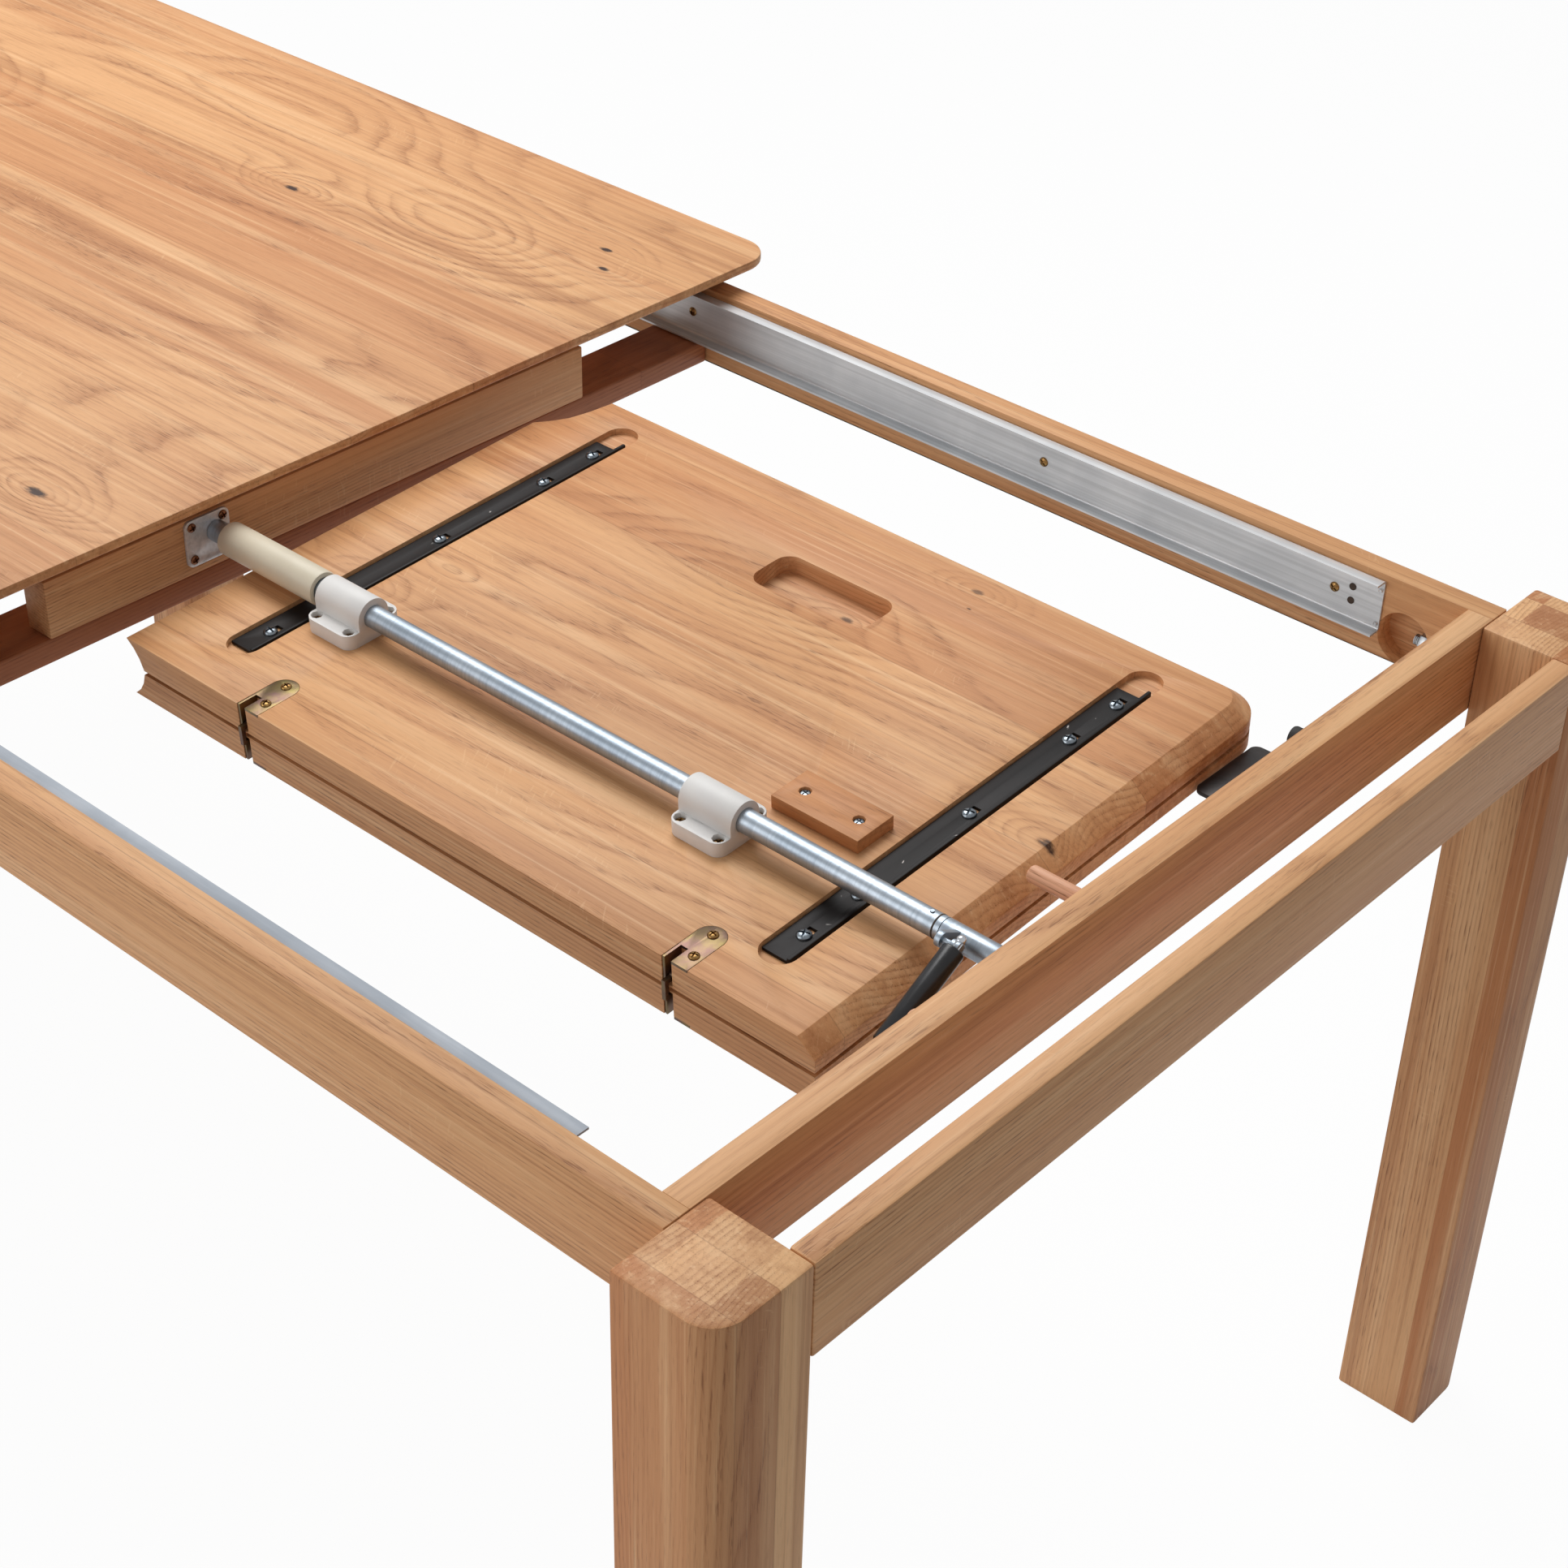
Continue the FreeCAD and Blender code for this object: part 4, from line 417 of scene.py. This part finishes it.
screwBright = metal("screwBright", {
    "first": (150, 158, 164), "second": (124, 132, 140), "line": (92, 100, 108),
    "lines": 0.4, "drawn": (500, 500, 500), "patch": 200.0,
    "rough": 0.2, "roughVary": 0.2, "metallic": 1.0, "bump": 0.1})
screwYellow = metal("screwYellow", {
    "first": (172, 138, 84), "second": (140, 104, 64), "line": (100, 68, 40),
    "lines": 0.5, "drawn": (500, 500, 500), "patch": 200.0,
    "rough": 0.24, "roughVary": 0.2, "metallic": 0.95, "bump": 0.1})
screwBrown = metal("screwBrown", {
    "first": (138, 92, 62), "second": (106, 64, 42), "line": (74, 44, 30),
    "lines": 0.5, "drawn": (500, 500, 500), "patch": 200.0,
    "rough": 0.28, "roughVary": 0.2, "metallic": 0.9, "bump": 0.1})
boltSteel = metal("boltSteel", {
    "first": (196, 198, 200), "second": (172, 176, 180), "line": (120, 124, 128),
    "lines": 0.5, "drawn": (300, 300, 300), "patch": 120.0,
    "rough": 0.28, "roughVary": 0.2, "metallic": 0.95, "bump": 0.1})


def moulded(name, look):
    made, tree, shader = newMaterial(name)
    place = addNode(tree, "ShaderNodeTexCoord").outputs["Object"]
    grainy = noise(tree, place, 1500.0, 2.0, 0.6).outputs[0]
    patch = noise(tree, place, 30.0, 3.0, 0.5).outputs[0]
    colour = blendColour(tree, spread(tree, patch, 0.3, 0.7), shade(*look["first"]), shade(*look["second"]))
    colour = blendColour(tree, spread(tree, grainy, 0.5, 0.8, 0.0, 0.25), colour, shade(*look["speck"]))
    tree.links.new(colour, shader.inputs["Base Color"])
    tree.links.new(sums(tree, "MULTIPLY_ADD", grainy, 0.12, look["rough"]), shader.inputs["Roughness"])
    addRelief(tree, shader, grainy, look["bump"], 0.0001)
    shader.inputs["Specular IOR Level"].default_value = 0.4
    return made


blockGrey = moulded("blockGrey", {"first": (222, 220, 217), "second": (216, 214, 212), "speck": (206, 204, 202),
                                  "rough": 0.42, "bump": 0.3})
sleeveBeige = moulded("sleeveBeige", {"first": (216, 206, 184), "second": (210, 199, 177), "speck": (186, 180, 162),
                                      "rough": 0.38, "bump": 0.2})
bufferRubber = moulded("bufferRubber", {"first": (38, 37, 36), "second": (30, 29, 29), "speck": (52, 51, 50),
                                        "rough": 0.6, "bump": 0.4})
print("metal and plastic finishes made")

finishOf = {
    "tabletop": oakTop, "leaf_half_": oakLeaf, "leg_near": oakLeg, "leg_far": oakLeg, "side_apron": oakSide,
    "end_apron": oakEnd, "runner_batten": oakRunner, "crossbar_middle": oakMiddlePaintedShade, "crossbar_": oakBar,
    "pivot_rail": oakPivot, "stop_dowel": oakDowel, "stop_block": oakBlock, "slide_": galvanised,
    "ball_cage": galvanised,
    "tube_flange": galvanised, "pivot_tube": zincTube, "tube_end": zincTube, "tube_rivet": zincTube,
    "end_pin": zincTube, "angle_bar": barSteel, "rest_plate": blackSteel, "gas_bracket": blackSteel,
    "gas_cylinder": gasBlack, "gas_rod": gasRod, "hinge_plate": hingeZinc, "hinge_link": hingeZinc,
    "bar_screws": screwBright, "stop_screws": screwBright, "rail_screws": screwYellow, "batten_screws": screwBright,
    "fitting_screws": screwBright, "block_screws": screwYellow, "hinge_screws": screwYellow,
    "flange_screws": screwBrown, "leg_bolts": boltSteel, "tube_block": blockGrey, "tube_sleeve": sleeveBeige,
    "rubber_buffer": bufferRubber,
}


# The first start that fits counts, so the longer names stand before the shorter ones
def finishFor(node):
    return next(finishOf[start] for start in finishOf if node.startswith(start))


for nodeName, part in nodes.items():
    part.data.materials.clear()
    part.data.materials.append(finishFor(nodeName))
print("finishes given to the nodes")


# Shapes: a copy of a node's mesh with softened edges, or a new piece that stands in for the node

def startFrom(node):
    shape = bmesh.new()
    shape.from_mesh(nodes[node].data)
    bmesh.ops.remove_doubles(shape, verts=shape.verts, dist=0.000001)
    bmesh.ops.dissolve_limit(shape, angle_limit=radians(0.4), verts=shape.verts, edges=shape.edges)
    return shape


def soften(shape, width, angle=32, segments=2):
    edges = [edge for edge in shape.edges if len(edge.link_faces) == 2 and edge.calc_face_angle() > radians(angle)]
    bmesh.ops.bevel(shape, geom=edges, offset=width, offset_type="OFFSET", segments=segments, profile=0.5,
                    affect="EDGES", clamp_overlap=True, material=-1)


def addPiece(name, shape, finish, body, slotName, *replaced, smooth=28):
    for edge in shape.edges:
        edge.smooth = len(edge.link_faces) == 2 and edge.calc_face_angle() < radians(smooth)
    for face in shape.faces:
        face.smooth = True
    mesh = bpy.data.meshes.new(name)
    shape.to_mesh(mesh)
    shape.free()
    mesh.materials.append(finish)
    piece = bpy.data.objects.new(name, mesh)
    bpy.context.scene.collection.objects.link(piece)
    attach(piece, body)
    if replaced:
        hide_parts(*replaced)
    return piece


# Node's name or its start: width of the softened edge in metres, and the slot of its finish
softEdges = {
    "tabletop": (0.0022, "oak_top"), "leaf_half_a": (0.0012, "oak_leaf"),
    "leg_": (0.0024, "oak_leg"), "side_apron": (0.0018, "oak_apron"), "end_apron": (0.0018, "oak_apron"),
    "crossbar_left": (0.0024, "oak_bar"), "crossbar_right": (0.0024, "oak_bar"), "pivot_rail": (0.0014, "oak_bar"),
    "stop_block": (0.0006, "brown_block"), "rubber_buffer": (0.002, "buffer_rubber"),
    "tube_block": (0.0011, "block_grey"), "tube_sleeve": (0.0016, "sleeve_beige"),
    "tube_flange": (0.0004, "galvanised"),
    "hinge_plate": (0.0003, "hinge_zinc"), "angle_bar": (0.0005, "bar_steel"), "rest_plate": (0.0006, "black_steel"),
    "end_pin": (0.0006, "zinc_tube"), "tube_end": (0.0004, "zinc_tube"),
}
for start, (width, slotName) in softEdges.items():
    for nodeName in [name for name in nodes if name.startswith(start)]:
        shape = startFrom(nodeName)
        soften(shape, width)
        addPiece("fine_" + nodeName, shape, finishFor(nodeName), nodes[nodeName]["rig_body"], slotName, nodeName)
print("edges softened")


# Screws: pan heads with a cross recess, on the places of the plain ones

def groupsOf(shape):
    left = set(shape.verts)
    groups = []
    while left:
        group = [left.pop()]
        for vert in group:
            for other in [edge.other_vert(vert) for edge in vert.link_edges]:
                if other in left:
                    left.discard(other)
                    group.append(other)
        groups.append(group)
    return groups


def headSpots(node, axis, side=None):
    shape = startFrom(node)
    spots = []
    for group in groupsOf(shape):
        top = max(vert.co.dot(axis) for vert in group)
        cap = [vert.co for vert in group if vert.co.dot(axis) > top - 0.0002]
        spot = sum(cap, Vector()) / len(cap)
        if side is None or spot.y * side > 0:
            spots.append(spot)
    shape.free()
    return sorted(spots, key=lambda spot: (round(spot.x, 4), round(spot.y, 4)))


# Marks divide the square grid that a head starts from; the others are shares of the screw's height or radius
headLook = {"marks": (-1.0, -0.78, -0.56, -0.17, 0.17, 0.56, 0.78, 1.0), "dome": 0.6, "taper": 0.75, "floor": 0.12,
            "skirt": 1.03, "root": 0.22, "neck": 0.42, "shankSides": 8}


def inCross(face, count):
    # Whether a face of the square grid lies in the cross, which stops one row short of the rim
    middle = face.calc_center_median()
    column, row = int((middle.x + 1) * count / 2), int((middle.y + 1) * count / 2)
    centre, last = count // 2, count - 2
    return (column == centre and 1 <= row <= last) or (row == centre and 1 <= column <= last)


def onlyVerts(items):
    return [item for item in items if isinstance(item, bmesh.types.BMVert)]


def addHead(shape, screw, place, axis):
    marks = headLook["marks"]
    count = len(marks) - 1
    before = set(shape.verts)
    grid = bmesh.ops.create_grid(shape, x_segments=count, y_segments=count, size=1.0)["verts"]
    cross = [face for face in {face for vert in grid for face in vert.link_faces} if inCross(face, count)]
    # The square grid becomes a round dome
    for vert in grid:
        x, y = (marks[round((part + 1) * count / 2)] for part in vert.co[:2])
        x, y = x * sqrt(1 - y * y / 2), y * sqrt(1 - x * x / 2)
        height = screw["high"] * (1 - headLook["dome"] * (x * x + y * y) ** 2)
        vert.co = (x * screw["radius"], y * screw["radius"], height)
    recess = bmesh.ops.extrude_face_region(shape, geom=cross)["geom"]
    bmesh.ops.delete(shape, geom=cross, context="FACES_ONLY")
    for vert in onlyVerts(recess):
        vert.co = (vert.co.x * headLook["taper"], vert.co.y * headLook["taper"], screw["high"] * headLook["floor"])
    near = {edge for vert in grid if vert.is_valid for edge in vert.link_edges}
    rim = [edge for edge in near if len(edge.link_faces) == 1]
    skirt = bmesh.ops.extrude_edge_only(shape, edges=rim)["geom"]
    for vert in onlyVerts(skirt):
        vert.co = (vert.co.x * headLook["skirt"], vert.co.y * headLook["skirt"], 0)
    bmesh.ops.create_cone(shape, cap_ends=True, segments=headLook["shankSides"],
                          radius1=screw["radius"] * headLook["root"], radius2=screw["radius"] * headLook["neck"],
                          depth=screw["shank"], matrix=Matrix.Translation((0, 0, -screw["shank"] / 2)))
    fresh = [vert for vert in shape.verts if vert not in before]
    # Each cross is turned by an amount that follows from its place
    twist = Matrix.Rotation(place.x * 37 + place.y * 61, 4, "Z")
    turn = axis.to_track_quat("Z", "Y").to_matrix().to_4x4() @ twist
    bmesh.ops.transform(shape, matrix=Matrix.Translation(place) @ turn, verts=fresh)


leafUp = Vector((0, -0.0577, 1)).normalized()
inward = Vector((0, -1, 0))
along = Vector((1, 0, 0))
barScrew = {"radius": 0.0049, "high": 0.0026, "seat": 0.002, "shank": 0.012, "finish": screwBright,
            "slot": "screw_bright"}
hingeScrew = {"radius": 0.0036, "high": 0.0018, "seat": 0.0016, "shank": 0.014, "finish": screwYellow,
              "slot": "screw_yellow"}
# Seat is how far the head's rim lies below the top of the plain head; sides are used where heads face both ways
screwLook = {
    "bar_screws_a": {**barScrew, "axis": leafUp},
    "bar_screws_b": {**barScrew, "axis": -leafUp},
    "block_screws": {"axis": leafUp, "radius": 0.0041, "high": 0.0024, "seat": 0.002, "shank": 0.019,
                     "finish": screwYellow, "slot": "screw_yellow"},
    "stop_screws": {"axis": leafUp, "radius": 0.0036, "high": 0.001, "seat": 0.0014, "shank": 0.018,
                    "finish": screwBright, "slot": "screw_bright"},
    "hinge_screws_a": {**hingeScrew, "axis": leafUp},
    "hinge_screws_b": {**hingeScrew, "axis": -leafUp},
    "flange_screws": {"axis": along, "radius": 0.0034, "high": 0.0018, "seat": 0.0016, "shank": 0.012,
                      "finish": screwBrown, "slot": "screw_brown"},
    "fitting_screws": {"axis": -along, "radius": 0.0036, "high": 0.002, "seat": 0.0016, "shank": 0.012,
                       "finish": screwBright, "slot": "screw_bright"},
    "rail_screws": {"axis": inward, "sides": (1, -1), "radius": 0.0037, "high": 0.0018, "seat": 0.0016,
                    "shank": 0.011, "finish": screwYellow, "slot": "screw_yellow"},
}
for nodeName, screw in screwLook.items():
    shape = bmesh.new()
    for side in screw.get("sides", (None,)):
        axis = screw["axis"] * (side or 1)
        for spot in headSpots(nodeName, axis, side):
            addHead(shape, screw, spot - axis * screw["seat"], axis)
    body = nodes[nodeName]["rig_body"]
    addPiece("cross_" + nodeName, shape, screw["finish"], body, screw["slot"], nodeName, smooth=50)
print("screws made")


# Slides: channels of folded sheet with rounded folds, lying open toward the middle of the table

def addChannel(shape, look, side):
    x0, x1 = look["ends"]
    back, front, low, high = look["back"], look["front"], look["low"], look["high"]
    middle = ((x0 + x1) / 2, side * (back + front) / 2, (low + high) / 2)
    size = Matrix.Diagonal((x1 - x0, back - front, high - low, 1))
    made = bmesh.ops.create_cube(shape, size=1, matrix=Matrix.Translation(middle) @ size)["verts"]
    faces = {face for vert in made for face in vert.link_faces}
    # Both ends and the side toward the middle of the table are open
    gone = [face for face in faces if abs(face.normal.x) > 0.9 or face.normal.y * side < -0.9]
    bmesh.ops.delete(shape, geom=gone, context="FACES")
    folds = [edge for edge in shape.edges if len(edge.link_faces) == 2]
    bmesh.ops.bevel(shape, geom=folds, offset=look["fold"], offset_type="OFFSET", segments=4, profile=0.5,
                    affect="EDGES", clamp_overlap=True, material=-1)
    bmesh.ops.recalc_face_normals(shape, faces=shape.faces)
    bmesh.ops.solidify(shape, geom=shape.faces[:], thickness=look["sheet"])
    bmesh.ops.recalc_face_normals(shape, faces=shape.faces)


slideLook = {
    "slide_outer": {"ends": (-0.2565, 1.0335), "back": 0.3918, "front": 0.3802, "low": 0.677, "high": 0.718,
                    "fold": 0.003, "sheet": 0.0015},
    "slide_inner": {"ends": (-0.3085, 0.2915), "back": 0.3845, "front": 0.3797, "low": 0.6835, "high": 0.7115,
                    "fold": 0.0016, "sheet": 0.0014},
    "ball_cage": {"ends": (0.086, 0.286), "back": 0.3862, "front": 0.3822, "low": 0.68, "high": 0.715,
                  "fold": 0.0014, "sheet": 0.0007},
}
ballLook = {"count": 10, "pitch": 0.02, "radius": 0.0016, "proud": 0.0003, "row": 0.3842}
for start, look in slideLook.items():
    for label, side in (("_near", -1), ("_far", 1)):
        shape = bmesh.new()
        addChannel(shape, look, side)
        if start == "ball_cage":
            for n in range(ballLook["count"]):
                for level in (look["low"] + ballLook["proud"], look["high"] - ballLook["proud"]):
                    place = (look["ends"][0] + (n + 0.5) * ballLook["pitch"], side * ballLook["row"], level)
                    bmesh.ops.create_icosphere(shape, subdivisions=1, radius=ballLook["radius"],
                                               matrix=Matrix.Translation(place))
        nodeName = start + label
        # The near slide alone takes the darker copy of the galvanised steel, as painted shade
        finish = paintedShadeSteel if nodeName == "slide_outer_near" else galvanised
        addPiece("folded_" + nodeName, shape, finish, nodes[nodeName]["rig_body"], "galvanised", nodeName)


def addDiscs(name, look, finish, slotName):
    # One disc above the other on the web of each slide, with a sunk middle
    shape = bmesh.new()
    for side in (-1, 1):
        for level in look["levels"]:
            place = Matrix.Translation((look["along"], side * look["web"], level))
            made = bmesh.ops.create_cone(shape, cap_ends=True, segments=look["sides"], radius1=look["radius"],
                                         radius2=look["top"], depth=look["deep"],
                                         matrix=place @ Matrix.Rotation(side * pi / 2, 4, "X"))["verts"]
            caps = [face for face in {face for vert in made for face in vert.link_faces} if len(face.verts) > 4]
            bmesh.ops.inset_region(shape, faces=caps, thickness=look["ring"], depth=-look["sunk"])
    addPiece(name, shape, finish, "frame", slotName)


# Spare screw holes beside each slide's end screw, drawn as dark discs of painted shade, and the punched tabs at its
# end
holeLook = {"along": 1.009, "levels": (0.6925, 0.7035), "web": 0.3901, "deep": 0.0006, "radius": 0.0027,
            "top": 0.0027, "sides": 20, "ring": 0.0004, "sunk": 0.00024}
addDiscs("slide_spare_holes", holeLook, paintedShadeBrown, None)
tabLook = {"along": 1.031, "levels": (0.683, 0.7095), "web": 0.3897, "deep": 0.0016, "radius": 0.0018, "top": 0.00144,
           "sides": 12, "ring": 0.00054, "sunk": 0.00048}
addDiscs("slide_end_tabs", tabLook, galvanised, "galvanised")
print("slides made")


# The middle crossbar lies flat under the slides and the pivot rail; its darker oak is painted shade for the
# tabletop's shadow

crossLook = {"ends": (0.3375, 0.3895), "reach": 0.3915, "low": 0.6572, "high": 0.6756, "round": 0.0022}
start, end = crossLook["ends"]
low, high = crossLook["low"], crossLook["high"]
place = Matrix.Translation(((start + end) / 2, 0, (low + high) / 2))
shape = bmesh.new()
size = Matrix.Diagonal((end - start, 2 * crossLook["reach"], high - low, 1))
bmesh.ops.create_cube(shape, size=1, matrix=place @ size)
soften(shape, crossLook["round"], segments=3)
addPiece("flat_crossbar_middle", shape, oakMiddlePaintedShade, "frame", "oak_bar", "crossbar_middle")


# Gas spring: a black tube with rolled ends, and a bright stud at its upper end

gasLook = {"low": (1.0745, -0.1915, 0.6815), "high": (1.0745, -0.1305, 0.7145), "radius": 0.0072, "roll": 0.0016,
           "studRadius": 0.0042, "studLength": 0.005, "studOut": 0.002, "ballRadius": 0.00336, "ballOut": 0.0045}
low, high = Vector(gasLook["low"]), Vector(gasLook["high"])
turn = (high - low).to_track_quat("Z", "Y").to_matrix().to_4x4()
shape = bmesh.new()
bmesh.ops.create_cone(shape, cap_ends=True, segments=40, radius1=gasLook["radius"], radius2=gasLook["radius"],
                      depth=(high - low).length)
soften(shape, gasLook["roll"], angle=60, segments=3)
bmesh.ops.transform(shape, matrix=Matrix.Translation((low + high) / 2) @ turn, verts=shape.verts)
addPiece("fine_gas_cylinder", shape, gasBlack, "gas_cylinder_body", "gas_black", "gas_cylinder")
shape = bmesh.new()
bmesh.ops.create_cone(shape, cap_ends=True, segments=6, radius1=gasLook["studRadius"], radius2=gasLook["studRadius"],
                      depth=gasLook["studLength"])
bmesh.ops.create_uvsphere(shape, u_segments=14, v_segments=8, radius=gasLook["ballRadius"],
                          matrix=Matrix.Translation((0, 0, gasLook["ballOut"])))
place = Matrix.Translation(high + (high - low).normalized() * gasLook["studOut"])
bmesh.ops.transform(shape, matrix=place @ turn, verts=shape.verts)
addPiece("gas_stud", shape, gasRod, "gas_cylinder_body", "gas_rod")


# Round pieces along X: a dark ring of painted shade for the gap at the tube's end, the stop dowels and the threaded
# leg bolts

def addRound(shape, radius, start, end, place, segments):
    # A capped cylinder between start and end along X, in either order, with its axis through place (y, z)
    turn = Matrix.Translation(((start + end) / 2, place[0], place[1])) @ Matrix.Rotation(pi / 2, 4, "Y")
    bmesh.ops.create_cone(shape, cap_ends=True, segments=segments, radius1=radius, radius2=radius,
                          depth=abs(end - start), matrix=turn)


# A dark ring at the tube's end: painted shade for the gap shadow there
gapShadeLook = {"axis": (-0.110, 0.705), "ends": (1.0467, 1.0479), "radius": 0.00815}
shape = bmesh.new()
addRound(shape, gapShadeLook["radius"], *gapShadeLook["ends"], gapShadeLook["axis"], 56)
addPiece("tube_gap_shade", shape, paintedShadeBrown, "leaf_a", None)

dowelLook = {"near": (1.0885, 1.109, (-0.186, 0.707)), "far": (1.0545, 1.109, (-0.034, 0.707)), "radius": 0.0056,
             "roll": 0.0023}
shape = bmesh.new()
for label in ("near", "far"):
    addRound(shape, dowelLook["radius"], *dowelLook[label], 24)
soften(shape, dowelLook["roll"], angle=60, segments=3)
addPiece("rounded_stop_dowels", shape, oakDowel, "frame", "oak_dowel", "stop_dowel_near", "stop_dowel_far")

# Each bolt: a threaded end that stands free, then the nut, its washer and the shank inside the leg
boltLook = {"tips": ((1.0585, 1), (-0.2815, -1)), "sides": (-0.4, 0.4), "level": 0.678, "length": 0.092,
            "root": 0.0033, "free": 0.013, "crest": 0.004, "pitch": 0.00125, "crestShare": 0.3,
            "nut": 0.0073, "nutHigh": 0.0065, "washer": 0.0088, "washerThick": 0.0014, "washerGap": 0.0001}
shape = bmesh.new()
for tip, way in boltLook["tips"]:
    for side in boltLook["sides"]:
        place = (side, boltLook["level"])
        addRound(shape, boltLook["root"], tip, tip + way * boltLook["length"], place, 12)
        for n in range(int(boltLook["free"] / boltLook["pitch"])):
            at = tip + way * (n + 0.5) * boltLook["pitch"]
            half = boltLook["pitch"] * boltLook["crestShare"]
            addRound(shape, boltLook["crest"], at - half, at + half, place, 12)
        nutEnd = boltLook["free"] + boltLook["nutHigh"]
        addRound(shape, boltLook["nut"], tip + way * boltLook["free"], tip + way * nutEnd, place, 6)
        washerStart = nutEnd + boltLook["washerGap"]
        washerEnd = washerStart + boltLook["washerThick"]
        addRound(shape, boltLook["washer"], tip + way * washerStart, tip + way * washerEnd, place, 24)
addPiece("threaded_leg_bolts", shape, boltSteel, "frame", "bolt_steel", "leg_bolts")
print("pieces made")


# Studio: pale floor, white surroundings, one broad lamp above and one at the side

studio = {
    "floorSize": 14.0, "floorPlace": (0.4, 0, -0.0004), "floorTone": 0.86, "floorRough": 0.9, "floorGlow": 0.96,
    "worldLight": 0.3, "mirrorLight": 0.62, "aim": (0.5, 0, 0.6),
    "topPower": 70.0, "topSize": 1.9, "topPlace": (-0.5, 0.8, 3.1),
    "sidePower": 42.0, "sideSize": 2.2, "sidePlace": (-0.6, -3.2, 1.7),
}
floorShape = bmesh.new()
bmesh.ops.create_grid(floorShape, x_segments=1, y_segments=1, size=studio["floorSize"] / 2,
                      matrix=Matrix.Translation(studio["floorPlace"]))
floorMesh = bpy.data.meshes.new("studioFloor")
floorShape.to_mesh(floorMesh)
floorShape.free()
floor = bpy.data.objects.new("studioFloor", floorMesh)
bpy.context.scene.collection.objects.link(floor)
floorFinish, floorTree, floorShader = newMaterial("floorWhite")
floorShader.inputs["Base Color"].default_value = (*[studio["floorTone"]] * 3, 1.0)
floorShader.inputs["Roughness"].default_value = studio["floorRough"]
glow = addNode(floorTree, "ShaderNodeEmission", {"Color": (1.0, 1.0, 1.0, 1.0), "Strength": 1.0})


def lightRays(tree):
    # Two masks: 1 where the camera sees the surface, straight or through glass, and the strength in a mirror
    ray = addNode(tree, "ShaderNodeLightPath").outputs
    seen = sums(tree, "MAXIMUM", ray["Is Camera Ray"], ray["Is Transmission Ray"])
    return seen, sums(tree, "MULTIPLY", ray["Is Glossy Ray"], studio["mirrorLight"])


seen, mirrored = lightRays(floorTree)
glowing = sums(floorTree, "MAXIMUM", sums(floorTree, "MULTIPLY", seen, studio["floorGlow"]), mirrored)
mixed = addNode(floorTree, "ShaderNodeMixShader", {0: glowing})
floorTree.links.new(floorShader.outputs[0], mixed.inputs[1])
floorTree.links.new(glow.outputs[0], mixed.inputs[2])
floorTree.links.new(mixed.outputs[0], floorTree.nodes["Material Output"].inputs["Surface"])
floorMesh.materials.append(floorFinish)

world = bpy.data.worlds.new("studioWorld")
world.use_nodes = True
bpy.context.scene.world = world
sky = world.node_tree
backdrop = sky.nodes["Background"]
backdrop.inputs["Color"].default_value = (1.0, 1.0, 1.0, 1.0)
seen, mirrored = lightRays(sky)
strength = sums(sky, "MULTIPLY_ADD", seen, 1.0 - studio["worldLight"], studio["worldLight"])
sky.links.new(sums(sky, "MAXIMUM", strength, mirrored), backdrop.inputs["Strength"])

for label in ("top", "side"):
    lamp = bpy.data.lights.new(label + "Lamp", "AREA")
    lamp.energy = studio[label + "Power"]
    lamp.size = studio[label + "Size"]
    stand = bpy.data.objects.new(label + "Lamp", lamp)
    stand.location = studio[label + "Place"]
    stand.rotation_euler = (Vector(studio["aim"]) - stand.location).to_track_quat("-Z", "Y").to_euler()
    bpy.context.scene.collection.objects.link(stand)

view = {"place": (1.83555, -1.15212, 1.71079), "turn": (54.7636, -2.2493, 40.7015), "lens": 65.371,
        "shiftX": -0.05233, "shiftY": 0.01259, "sensor": 36.0, "clip": 0.05}
eye = bpy.data.cameras.new("camera")
eye.lens = view["lens"]
eye.sensor_width = view["sensor"]
eye.shift_x = view["shiftX"]
eye.shift_y = view["shiftY"]
eye.clip_start = view["clip"]
camera = bpy.data.objects.new("camera", eye)
camera.location = view["place"]
camera.rotation_euler = [radians(angle) for angle in view["turn"]]
bpy.context.scene.collection.objects.link(camera)
bpy.context.scene.camera = camera
bpy.context.scene.view_settings.view_transform = "Standard"
print("studio and camera set")
